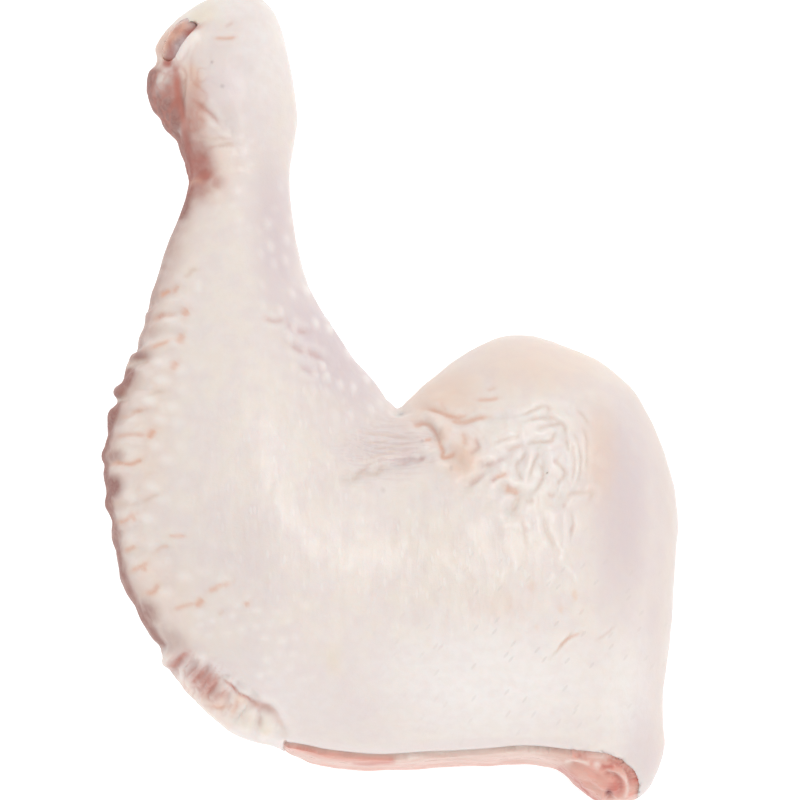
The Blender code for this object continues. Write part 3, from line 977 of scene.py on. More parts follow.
FOLDS_OF_WEB = folds_of(
    Tint.BEIGE,
    ("web edge", 0.8, 0.5, 1.0, (344, 481), (356, 478), (361, 473), (375, 474), (382, 468), (391, 465)),
    ("web 1", 0.5, 0.3, 1.0, (362, 431), (373, 434), (387, 435), (399, 437), (415, 440)),
    ("web 2", 0.5, 0.2, 1.0, (366, 442), (377, 442), (391, 440)),
    ("web 3", 0.5, 0.2, 1.0, (371, 448), (386, 447), (404, 444), (413, 443)),
    ("web 4", 0.5, 0.3, 1.0, (361, 461), (371, 459), (387, 452), (404, 450), (416, 448)),
    ("web 5", 0.5, 0.3, 1.0, (350, 475), (361, 472), (371, 464), (381, 460), (395, 455), (421, 453)),
) + folds_of(
    Tint.BLUSH,
    ("web edge, end", 0.7, 0.5, 0.25, (395, 465), (404, 463), (412, 460), (418, 461), (424, 456)),
)

FOLDS_OF_SIDE = folds_of(
    Tint.BLUSH,
    ("side 1", 0.8, 0.5, 0.3, (264, 317), (274, 321), (286, 319)),
    ("side 2", 0.9, 0.6, 0.3, (286, 322), (297, 330), (309, 333)),
    ("side 3", 0.9, 0.6, 0.3, (286, 341), (300, 350), (314, 354), (327, 363)),
    ("side 4", 0.8, 0.5, 0.2, (300, 366), (310, 371), (321, 372)),
)

FOLDS_OF_CRUMPLE = folds_of(
    Tint.BEIGE,
    ("pale fold", 0.6, 0.4, 1.0, (490, 446), (501, 440), (509, 439), (517, 437), (518, 431)),
    ("foot's end", 0.6, 0.4, 1.0, (522, 445), (531, 443), (541, 442), (551, 441), (554, 435), (557, 430)),
    ("top loop", 0.7, 0.4, 1.0, (515, 418), (527, 414), (538, 408), (544, 405), (549, 409), (546, 415)),
    ("under the top loop", 0.8, 0.4, 1.0, (525, 422), (538, 419), (550, 418), (559, 420)),
    ("third fold", 0.8, 0.5, 1.0, (530, 430), (542, 427), (552, 425), (561, 423), (565, 429), (566, 438)),
    ("third fold, down", 0.6, 0.4, 1.0, (566, 438), (568, 447), (569, 452)),
    ("finger, left", 0.7, 0.5, 1.0, (527, 448), (523, 456), (517, 466), (520, 477), (524, 482)),
    ("finger, middle", 0.6, 0.4, 1.0, (537, 449), (538, 456), (535, 462), (532, 470), (529, 479)),
    ("finger, right", 0.6, 0.4, 1.0, (538, 462), (542, 468), (542, 477), (538, 486), (530, 496)),
    ("fingers' foot", 0.8, 0.4, 0.8, (524, 501), (535, 500)),
    ("outer arc", 0.6, 0.3, 0.8, (577, 410), (583, 416), (589, 426)),
    ("pleat 1", 0.5, 0.4, 0.9, (572, 431), (577, 441), (580, 456), (580, 472), (576, 486)),
    ("pleat 2", 0.5, 0.4, 0.9, (571, 440), (573, 452), (574, 467), (572, 484)),
    ("pleat 3", 0.5, 0.3, 0.8, (582, 425), (586, 438), (587, 456), (585, 476)),
    ("zigzag", 0.6, 0.4, 1.0, (561, 453), (557, 461), (562, 467), (566, 473), (560, 482), (556, 486)),
    ("orange fold, down", 0.8, 0.4, 1.0, (518, 496), (516, 504), (512, 512)),
    ("low right", 0.8, 0.4, 0.8, (567, 500), (571, 493), (586, 492), (592, 494), (586, 504)),
    ("low middle", 0.8, 0.4, 0.9, (548, 495), (557, 495)),
    ("long drop", 0.8, 0.4, 0.8, (543, 512), (546, 529), (551, 539), (560, 554)),
    ("drop, second", 0.7, 0.3, 0.7, (522, 515), (525, 532), (528, 548)),
    ("drop, third", 0.7, 0.3, 0.6, (570, 508), (574, 524), (571, 540)),
    ("slanting stroke, upper", 0.45, 0.3, 0.9, (549, 659), (560, 647), (568, 637), (575, 629)),
    ("slanting stroke, right", 0.45, 0.3, 0.7, (596, 640), (606, 634), (615, 625)),
) + folds_of(
    Tint.PEACH,
    ("long foot", 0.6, 0.5, 0.5, (508, 451), (514, 448), (522, 445)),
    ("orange fold", 1.1, 0.6, 0.9, (504, 486), (509, 489), (515, 491), (518, 496)),
    ("slanting stroke", 0.45, 0.3, 0.8, (558, 648), (563, 643), (571, 637), (582, 632)),
)

# Ridges: raised lines, each with a painted highlight along its top.
RIDGES = folds_of(
    Tint.PAINTED_HIGHLIGHT,
    ("top ridge", 1.0, 0.5, 0.9, (512, 420), (524, 418), (534, 415), (542, 412), (545, 409)),
    ("upper ridge", 1.6, 0.4, 0.6, (527, 403), (539, 403), (560, 404), (572, 408)),
    ("second ridge", 0.9, 0.5, 0.8, (523, 441), (523, 430), (530, 425), (540, 423), (551, 421)),
    ("third ridge", 0.9, 0.5, 0.8, (532, 435), (543, 433), (552, 430), (551, 437)),
    ("left ridge", 1.0, 0.4, 0.6, (490, 437), (503, 433), (512, 428)),
    ("left ridge, low", 0.9, 0.5, 0.7, (495, 441), (507, 436), (515, 431)),
    ("long ridge", 1.0, 0.5, 0.7, (494, 448), (504, 444), (518, 440)),
    ("finger ridge, left", 1.0, 0.5, 0.8, (531, 448), (532, 454), (529, 462), (526, 469), (524, 474)),
    ("finger ridge, right", 1.0, 0.6, 0.9, (538, 464), (538, 474), (534, 482), (526, 487), (517, 487)),
    ("finger ridge, end", 1.0, 0.5, 0.9, (517, 487), (512, 483), (510, 477)),
    ("small ridge, left", 0.9, 0.4, 0.7, (512, 461), (517, 455), (523, 449)),
    ("ivory ridge", 1.2, 0.5, 0.8, (547, 483), (544, 489), (539, 494)),
    ("pleat ridge 1", 0.7, 0.5, 0.5, (567, 427), (569, 437), (570, 450)),
    ("pleat ridge 2", 0.7, 0.5, 0.6, (575, 434), (577, 444), (578, 458), (577, 472), (575, 487)),
    ("pleat ridge 3", 0.7, 0.4, 0.5, (580, 432), (583, 442), (584, 458), (583, 474)),
    ("shiny place", 1.4, 0.7, 1.1, (500, 470), (503, 466), (506, 462)),
    ("hook ridge", 1.3, 0.6, 0.5, (424, 416), (436, 422), (445, 430), (450, 442)),
    ("hook ridge, left", 1.1, 0.5, 0.5, (420, 429), (427, 431), (433, 441)),
    ("notch ridge", 0.9, 0.4, 0.4, (420, 413), (434, 415), (446, 420)),
    ("slanting ridge", 0.9, 0.5, 0.7, (474, 489), (483, 481), (490, 472)),
    ("tall white place 1", 1.5, 0.3, 0.7, (503, 510), (503, 522), (504, 531)),
    ("tall white place 2", 1.5, 0.3, 0.6, (540, 512), (540, 524), (541, 536)),
    ("tall white place 3", 1.4, 0.3, 0.6, (551, 506), (552, 516), (555, 526)),
    ("drop's ridge", 0.7, 0.4, 0.8, (555, 540), (563, 552), (561, 564)),
    ("drop's ridge, low", 0.7, 0.4, 0.7, (563, 564), (574, 574), (577, 584)),
    ("drop's ridge, left", 0.7, 0.4, 0.7, (547, 588), (552, 580), (555, 572)),
    ("tall white place 4", 0.9, 0.3, 0.7, (516, 560), (515, 574)),
    ("tall white place 5", 0.9, 0.3, 0.6, (502, 572), (501, 584)),
    ("low ridge", 1.0, 0.4, 0.7, (500, 499), (509, 497), (513, 498)),
    ("heel ridge", 1.6, 0.8, 0.3, (181, 70), (184, 86), (188, 104), (190, 124)),
    ("lip of the opening", 1.1, 0.8, 0.9, (201, 27), (192, 38), (183, 50), (177, 60)),
    ("heel fold's ridge", 1.2, 0.6, 0.4, (208, 97), (214, 106), (219, 114)),
    ("lump, top ridge", 1.0, 0.6, 0.5, (153, 80), (158, 75), (166, 76)),
    ("pucker ridge 1", 0.7, 0.7, 0.4, (182, 668), (188, 662), (194, 657)),
    ("pucker ridge 2", 0.6, 0.6, 0.3, (198, 685), (204, 679), (210, 673)),
    ("pucker ridge 3", 0.6, 0.6, 0.4, (207, 690), (213, 684), (219, 679)),
    ("back's pale place 1", 1.3, 0.3, 0.6, (197, 278), (198, 294)),
    ("back's pale place 2", 1.5, 0.3, 0.6, (162, 400), (163, 416)),
    ("back's pale place 3", 1.5, 0.3, 0.5, (166, 556), (168, 566)),
)

FOLDS_OF_BACK = folds_of(
    Tint.BEIGE,
    ("back 1, upper", 0.8, 0.2, 1.0, (180, 278), (188, 275), (192, 270), (199, 269)),
    ("back 4", 0.9, 0.6, 1.0, (126, 368), (134, 363), (142, 362), (150, 360)),
    ("back 5", 0.9, 0.6, 1.0, (112, 401), (121, 400), (131, 398)),
    ("back 5, inner", 0.8, 0.3, 1.0, (138, 399), (151, 395), (156, 392), (169, 391)),
    ("back 9", 1.0, 0.3, 0.8, (112, 505), (122, 504), (130, 500)),
    ("back 10", 0.8, 0.2, 1.0, (140, 504), (148, 499), (154, 496), (161, 495)),
    ("knee, left 4", 1.0, 0.2, 0.9, (218, 616), (224, 610)),
) + folds_of(
    Tint.PEACH,
    ("back 1", 0.8, 0.3, 1.1, (159, 296), (165, 293), (171, 290)),
    ("back 1, end", 0.8, 0.2, 0.7, (173, 294), (176, 288), (179, 286)),
    ("back 2", 0.8, 0.4, 0.6, (150, 320), (157, 319), (162, 315), (169, 315), (180, 313)),
    ("orange place 1", 1.6, 0.3, 0.9, (184, 316), (185, 312), (188, 309)),
    ("orange place 2", 1.4, 0.3, 0.8, (178, 345), (180, 338), (183, 333)),
    ("orange place 3", 1.4, 0.3, 0.9, (173, 371), (175, 366), (178, 362)),
    ("back 3", 0.8, 0.4, 0.9, (150, 349), (156, 345), (162, 343), (172, 339)),
    ("back 6", 0.8, 0.5, 0.8, (118, 418), (130, 416), (136, 412), (146, 409)),
    ("back 7", 0.8, 0.5, 0.7, (115, 437), (124, 435), (136, 435), (148, 435)),
    ("back 7, up", 1.2, 0.3, 1.0, (148, 439), (151, 434), (155, 429)),
    ("back 8", 0.8, 0.7, 1.0, (108, 466), (118, 463), (130, 464), (138, 461), (143, 459)),
    ("back 11", 0.8, 0.4, 0.9, (115, 522), (124, 521), (129, 517), (137, 513)),
    ("back 11, end", 1.1, 0.2, 0.7, (132, 521), (135, 517)),
    ("straight dash", 0.7, 0.2, 0.5, (167, 536), (178, 536), (187, 536)),
    ("back 12", 0.8, 0.3, 0.8, (124, 552), (130, 549), (137, 546)),
    ("back 12, inner", 0.8, 0.2, 0.5, (155, 553), (162, 547), (171, 546)),
    ("back 13", 0.8, 0.3, 0.9, (128, 572), (137, 568), (142, 566), (150, 562)),
    ("back 13, end", 1.1, 0.2, 0.8, (143, 572), (145, 567)),
    ("back 14", 1.0, 0.3, 1.0, (142, 594), (152, 592), (156, 588), (159, 585)),
    ("knee, left 1", 0.8, 0.2, 0.6, (172, 610), (184, 606), (197, 603)),
    ("knee, left 1, end", 1.3, 0.2, 0.9, (196, 608), (199, 603), (203, 598)),
    ("knee, left 2", 1.0, 0.2, 0.7, (206, 592), (214, 589), (222, 585), (233, 582)),
    ("knee, left 3", 1.0, 0.2, 0.7, (245, 606), (249, 602)),
) + folds_of(
    Tint.BLUSH,
    ("back 2, red", 0.6, 0.2, 0.6, (157, 318), (161, 316), (165, 314)),
)

FOLDS_AT_KNEE = folds_of(
    Tint.BLUSH,
    ("pucker 1", 0.9, 0.9, 1.1, (172, 669), (175, 664), (181, 658), (189, 652)),
    ("pucker 2", 0.8, 0.9, 1.0, (192, 684), (198, 678), (206, 670)),
    ("pucker 3", 0.7, 0.8, 1.1, (199, 690), (206, 682), (212, 676)),
    ("pucker 4", 0.8, 0.8, 1.0, (206, 696), (212, 688), (219, 679)),
    ("pucker 5", 0.6, 0.6, 0.6, (183, 680), (190, 672), (198, 665)),
    ("pucker edge", 0.5, 0.5, 1.0, (221, 677), (230, 684), (239, 693), (248, 698), (257, 705)),
    ("fat lump, right", 0.7, 0.5, 0.4, (258, 708), (260, 716), (259, 727)),
) + folds_of(
    Tint.PEACH,
    ("pucker edge, right", 0.9, 0.6, 0.4, (243, 700), (257, 705), (271, 709), (279, 720), (286, 733)),
    ("fat lump, left", 0.8, 0.6, 0.7, (238, 698), (236, 706), (231, 715)),
    ("fat lump, low", 0.8, 0.4, 0.8, (210, 705), (220, 706), (236, 705)),
)

FOLDS_AT_HOCK = folds_of(
    Tint.BLUSH,
    ("heel fold, side", 1.3, 1.1, 1.0, (174, 67), (177, 80), (177, 91), (180, 105), (184, 120), (186, 136)),
    ("heel fold", 0.7, 0.7, 0.6, (190, 96), (199, 105), (207, 111), (213, 116), (222, 127)),
    ("lump 1", 0.6, 0.4, 0.5, (155, 71), (162, 73), (169, 75), (173, 81)),
    ("lump 2", 0.6, 0.4, 0.4, (157, 87), (163, 85), (168, 91), (166, 101)),
    ("lump 3", 0.6, 0.4, 0.4, (153, 101), (162, 99), (170, 105)),
    ("lump 4", 0.7, 0.4, 0.4, (158, 113), (166, 121), (174, 130)),
    ("hock, right dash", 0.6, 0.2, 0.25, (224, 27), (234, 22)),
    ("ankle, middle", 0.9, 0.3, 0.3, (193, 156), (203, 158), (213, 156)),
    ("ankle, lower", 0.9, 0.4, 0.5, (194, 176), (203, 177), (211, 172)),
) + folds_of(
    Tint.PEACH,
    ("hock dash", 0.6, 0.3, 0.8, (213, 38), (226, 38), (237, 37)),
    ("ankle, last", 0.9, 0.3, 0.5, (189, 186), (196, 181), (204, 182)),
) + folds_of(
    Tint.BEIGE,
    ("ankle, upper", 0.6, 0.3, 1.0, (194, 139), (212, 139), (229, 138)),
    ("ankle, second", 0.7, 0.3, 1.0, (217, 146), (225, 144), (235, 144)),
)

HEEL_RIM = (
    (153, 74), (149, 90), (152, 107), (160, 120), (170, 134),
    (179, 144), (186, 162), (189, 180), (185, 200), (180, 214),
)
HEEL_FOLD = ((174, 67), (177, 84), (179, 100), (183, 118), (186, 136), (189, 152))
SHIN_RIM = ((184, 200), (172, 240), (162, 268), (154, 293), (142, 336), (131, 372))
LEFT_RIM = ((131, 372), (113, 416), (104, 458), (110, 507))
LOW_LEFT_RIM = ((110, 507), (114, 533), (120, 567), (128, 590), (144, 620), (160, 645))
DOME_EDGE = ((580, 350), (612, 368))
RIGHT_EDGE = ((640, 400), (658, 438), (668, 480), (672, 530), (668, 590), (664, 640), (662, 740))
SKIN_EDGE = (
    (280, 743), (330, 752), (380, 757), (430, 750), (480, 748),
    (530, 746), (575, 748), (610, 755), (635, 770),
)

SKIN_TONES = {
    Tone.LILAC: (
        Patch("hock", (236, 84), (40, 62), 0.55),
        Patch("shin, right side", (276, 240), (24, 90), 0.8, 6.0),
        Patch("drumstick, right side", (330, 345), (38, 84), 1.0, 36.0),
        Patch("web", (386, 446), (46, 34), 0.55, 10.0),
        Patch("thigh, right side", (624, 500), (32, 120), 0.75),
        Patch("hip corner", (646, 740), (24, 60), 0.6),
        Patch("thigh, lower left", (300, 690), (120, 50), 0.4, -10.0),
        Patch("drumstick, low", (240, 560), (70, 60), 0.25),
        Band("right edge", RIGHT_EDGE, 26.0, 0.6),
    ),
    Tone.PEACH: (
        Patch("notch", (440, 396), (46, 26), 0.7, 24.0),
        Patch("dome", (530, 362), (80, 32), 0.45),
        Patch("crumple, left", (464, 460), (16, 22), 0.9, -10.0),
        Patch("hook", (442, 436), (8, 14), 0.8, -24.0),
        Patch("crumple, right", (598, 455), (18, 50), 0.55),
        Patch("drumstick, left side", (146, 420), (28, 150), 0.35, -6.0),
        Patch("drumstick, low left", (150, 590), (36, 66), 0.4, 30.0),
        Patch("flap left of the opening", (164, 47), (10, 24), 1.3, -28.0),
        Patch("beside the heel fold", (191, 82), (11, 20), 1.1),
        Patch("ankle", (214, 172), (22, 34), 0.5),
        Patch("ridge beside the heel", (195, 112), (12, 28), 0.9, 6.0),
        Patch("knee", (212, 698), (26, 16), 0.7, -36.0),
        Patch("knee, between the lumps", (240, 698), (7, 5), 0.9, -30.0),
        Band("knee's lower rim", ((176, 677), (193, 695), (213, 712), (228, 725)), 5.0, 0.5),
        Patch("fleck 1", (575, 596), (2.4, 6.0), 0.9),
        Patch("fleck 2", (561, 610), (2.4, 5.0), 0.8),
        Patch("fleck 3", (537, 628), (2.6, 4.0), 0.8),
        Patch("fleck 4", (510, 608), (2.4, 4.0), 0.7),
        Patch("fleck 5", (532, 586), (5.0, 6.0), 0.5),
        Patch("peach place", (500, 606), (34, 14), 0.3),
        Band("beside the shin's rim", SHIN_RIM, 26.0, 0.4),
        Band("beside the left rim", LEFT_RIM, 26.0, 0.4),
        Band("beside the low left rim", LOW_LEFT_RIM, 22.0, 0.3),
    ),
    Tone.YELLOW: (
        Patch("cap of the hock", (203, 14), (22, 12), 0.6, 30.0),
        Patch("fat lump, left", (247, 716), (10, 14), 0.4),
        Patch("fat lump, right", (266, 724), (8, 12), 0.5),
        Patch("small yellow place", (334, 660), (9, 16), 0.4),
        Patch("yellow fleck", (427, 646), (2.5, 5), 0.6),
        Patch("yellow fleck, lower", (534, 685), (2.5, 5), 0.4),
        Patch("thigh, upper", (440, 560), (60, 50), 0.12),
        Band("right edge, outside", (*DOME_EDGE, *RIGHT_EDGE), 9.0, 0.25),
    ),
    Tone.WHITE: (
        Patch("hock, right", (262, 60), (26, 60), 0.5),
        Patch("thigh, low middle", (490, 680), (120, 60), 0.75),
        Patch("low right", (620, 690), (34, 60), 0.55),
        Patch("knee, right of the pucker", (290, 690), (70, 34), 0.3, -20.0),
        Patch("cap of the hock, top", (236, 8), (26, 12), 0.5),
        Patch("crumple", (536, 452), (44, 40), 0.4),
    ),
    # Mauve: the skin's own darker colour on the heel lump and in places, and painted shade at the left edge
    # and along the left rims, which face away from the key lamp.
    Tone.MAUVE: (
        Patch("heel lump", (166, 112), (22, 30), 1.2, 30.0),
        Patch("heel lump, inner side", (172, 92), (10, 18), 0.8),
        Patch("ridge beside the fold", (192, 128), (12, 20), 0.3),
        # Down to the shin's left rim: painted shade, with some of the skin's own darker colour, at the left
        # edge.
        Patch("dark place of the back", (138, 357), (13, 9), 0.85, 20.0),
        Patch("dark place, middle", (112, 487), (11, 14), 1.25),
        Patch("dark place, point", (112, 456), (13, 8), 0.8),
        Patch("dark place, lower", (116, 535), (8, 9), 0.8),
        Patch("left rim, low", (145, 614), (13, 18), 0.8, 28.0),
        Patch("left rim, lowest", (170, 640), (24, 13), 0.45, -40.0),
        Patch("below the heel", (187, 142), (9, 24), 0.9, 14.0),
        Patch("ankle, left side", (193, 169), (16, 32), 0.8),
        Patch("shin's left rim", (180, 216), (10, 22), 0.6, -18.0),
        Patch("end of the web", (404, 459), (10, 4.5), 0.18, 6.0),
        Patch("flap at the knee", (174, 668), (6, 10), 0.5),
        # Painted shade, with some of the skin's own darker colour, along the left rims.
        Band("heel's left rim", HEEL_RIM, 9.0, 1.25),
        Band("shin's rim", SHIN_RIM, 13.0, 0.5),
        Band("shin's rim, outside", SHIN_RIM, 7.0, 0.62),
        Band("left rim", LEFT_RIM, 12.0, 0.65),
        Band("left rim, outside", LEFT_RIM, 7.0, 1.15),
        Band("low left rim", LOW_LEFT_RIM, 11.0, 0.5),
        Band("low left rim, outside", LOW_LEFT_RIM, 6.5, 0.95),
    ),
    Tone.BLUSH: (
        Band("fold beside the heel", HEEL_FOLD, 4.0, 0.65),
        Patch("ridge beside the fold", (195, 108), (12, 34), 0.5, 4.0),
        Patch("ankle, left", (200, 168), (16, 28), 0.75),
        Patch("ankle, knuckle", (204, 174), (11, 10), 0.95),
        Patch("ankle, right of the knuckle", (216, 182), (10, 8), 0.5),
        Patch("ankle, lower", (200, 190), (14, 10), 0.5),
        Patch("end of the opening", (168, 63), (7, 5), 1.0),
        Patch("top of the opening", (190, 29), (13, 4), 0.8, 20.0),
        Patch("flap left of the opening", (164, 47), (9, 22), 0.3, -28.0),
        Patch("pucker", (205, 683), (22, 12), 0.75, -40.0),
        Patch("pucker, left", (181, 661), (13, 7), 0.45, 40.0),
        Patch("pink of the right lump", (262, 706), (13, 5), 0.4, -20.0),
        Patch("pink dot, upper", (555, 461), (2.4, 2.8), 0.3),
        Patch("pink dot, middle", (564, 506), (2.2, 2.6), 0.3),
        Patch("pink dot, low", (572, 529), (2.0, 4.6), 0.3, -20.0),
        Patch("end of the web", (422, 459), (3.4, 2.4), 0.4, 40.0),
        Patch("corner of the notch", (421, 424), (6, 2.4), 0.3),
    ),
    Tone.GREY: (
        Patch("speck on the hock", (212, 62), (1.5, 1.5), 0.7),
        Patch("speck on the hock, low", (222, 86), (1.3, 1.3), 0.6),
        Patch("speck at the notch", (422, 441), (2.0, 1.8), 0.6),
        Patch("speck on the thigh", (382, 490), (1.8, 1.8), 0.5),
        Patch("speck at the crumple", (451, 468), (1.8, 3.0), 0.4),
        Patch("hock, shadow", (243, 70), (12, 8), 0.12),
    ),
}

BUMPS = (
    Bump(Patch("dent beside the opening", (150, 60), (9, 9)), -1.3),
    Bump(Patch("heel lump", (165, 96), (13, 22), 1.0, 10.0), 0.7),
    Bump(Patch("below the heel lump", (176, 140), (8, 12)), -0.5),
    Bump(Patch("heel fold", (181, 100), (5, 34), 1.0, -6.0), -0.9),
    Bump(Patch("point of the back 1", (131, 355), (6, 6)), 0.5),
    Bump(Patch("point of the back 2", (117, 391), (6, 6)), 0.5),
    Bump(Patch("point of the back 3", (112, 414), (5, 6)), 0.4),
    Bump(Patch("point of the back 4", (103, 457), (7, 7)), 0.6),
    Bump(Patch("flap at the knee", (169, 658), (5, 10), 1.0, -20.0), 1.0),
    Bump(Patch("dent above the flap", (160, 646), (7, 6)), -0.5),
    Bump(Patch("fat lump, left", (246, 718), (8, 13)), 1.0),
    Bump(Patch("fat lump, right", (266, 726), (7, 11)), 0.9),
    Bump(Patch("knee lump", (219, 702), (12, 7), 1.0, -34.0), 0.5),
    Bump(Patch("ridge at the notch", (446, 436), (6, 16), 1.0, -28.0), 0.4),
)

NOTCH_PULLS = (
    Pull(Patch("notch", (398, 396), (24, 16)), (0.0, -1.6, 0.0), whole=True),
    Pull(Patch("notch's bottom", (399, 404), (8, 10)), (0.0, -1.0, 0.0), whole=True),
)

STIPPLES = (
    Stipple(
        "feather roots, right side", (16, 20), (3.6, 6.2), 0.44, 20.0, 3.0,
        (Patch("right side", (330, 340), (44, 96), 1.0, 36.0), Patch("shin", (276, 250), (22, 70), 0.7)),
        0.75, 0.9,
    ),
    Stipple(
        "feather roots, left side", (24, 20), (8.5, 5.5), 0.2, -14.0, 7.0,
        (Patch("left side", (156, 420), (36, 190), 1.0, -4.0), Patch("low left", (180, 590), (60, 60), 0.8)),
        0.7,
    ),
    Stipple(
        "low bumps", (16, 15), (4.6, 3.6), 0.2, 12.0, 23.0,
        (Patch("knee", (245, 640), (80, 60), 0.8), Patch("ankle", (235, 190), (44, 60), 0.6)),
        0.6,
    ),
)


class Grain(Enum):
    """Which way the wrinkles of a place run."""

    STRAIGHT = "along the leg"
    WARPED = "every way"
    SLANTING = "across a slant"


@dataclass(frozen=True)
class Wrinkles:
    """The small wrinkles of one place, which are too many to name."""

    place: Patch
    tint: Tint
    tint_strength: float
    depth: float
    grain: Grain
    size: tuple[float, float, float]
    seed: float


WRINKLES = (
    Wrinkles(
        Patch("crumple", (535, 462), (76, 62)),
        Tint.BEIGE, 0.4, 0.2, Grain.WARPED, (2.2, 3.4, 4.0), 5.0,
    ),
    Wrinkles(
        Patch("notch", (456, 436), (48, 44)),
        Tint.PEACH, 0.4, 0.14, Grain.WARPED, (4.0, 2.0, 4.0), 15.0,
    ),
    Wrinkles(
        Patch("web", (388, 446), (50, 36), 1.0, 12.0),
        Tint.BEIGE, 0.4, 0.1, Grain.STRAIGHT, (7.5, 1.5, 4.0), 6.0,
    ),
    Wrinkles(
        Patch("ankle", (206, 160), (34, 46)),
        Tint.BLUSH, 0.35, 0.22, Grain.WARPED, (3.0, 2.4, 5.0), 8.0,
    ),
    Wrinkles(Patch("heel", (174, 108), (30, 56)), Tint.BLUSH, 0.7, 0.34, Grain.WARPED, (1.4, 2.6, 3.0), 9.0),
    Wrinkles(
        Patch("knee", (203, 682), (42, 20), 1.0, -36.0),
        Tint.BLUSH, 0.6, 0.36, Grain.SLANTING, (1.0, 3.4, 4.0), 10.0,
    ),
    Wrinkles(
        Patch("back", (136, 440), (30, 190), 1.0, -3.0),
        Tint.PEACH, 0.3, 0.14, Grain.WARPED, (4.5, 2.6, 5.0), 12.0,
    ),
    Wrinkles(
        Patch("drumstick", (260, 500), (130, 190)),
        Tint.BEIGE, 0.12, 0.1, Grain.WARPED, (2.4, 6.2, 4.0), 13.0,
    ),
    Wrinkles(
        Patch("thigh", (500, 620), (160, 110)),
        Tint.BEIGE, 0.12, 0.08, Grain.SLANTING, (5.4, 2.2, 4.0), 14.0,
    ),
    Wrinkles(
        Patch("below the crumple", (535, 540), (60, 44)),
        Tint.BEIGE, 0.3, 0.16, Grain.WARPED, (1.9, 8.0, 4.0), 16.0,
    ),
    Wrinkles(Patch("hock", (238, 84), (46, 74)), Tint.BEIGE, 0.25, 0.13, Grain.WARPED, (3.4, 2.6, 3.0), 17.0),
)


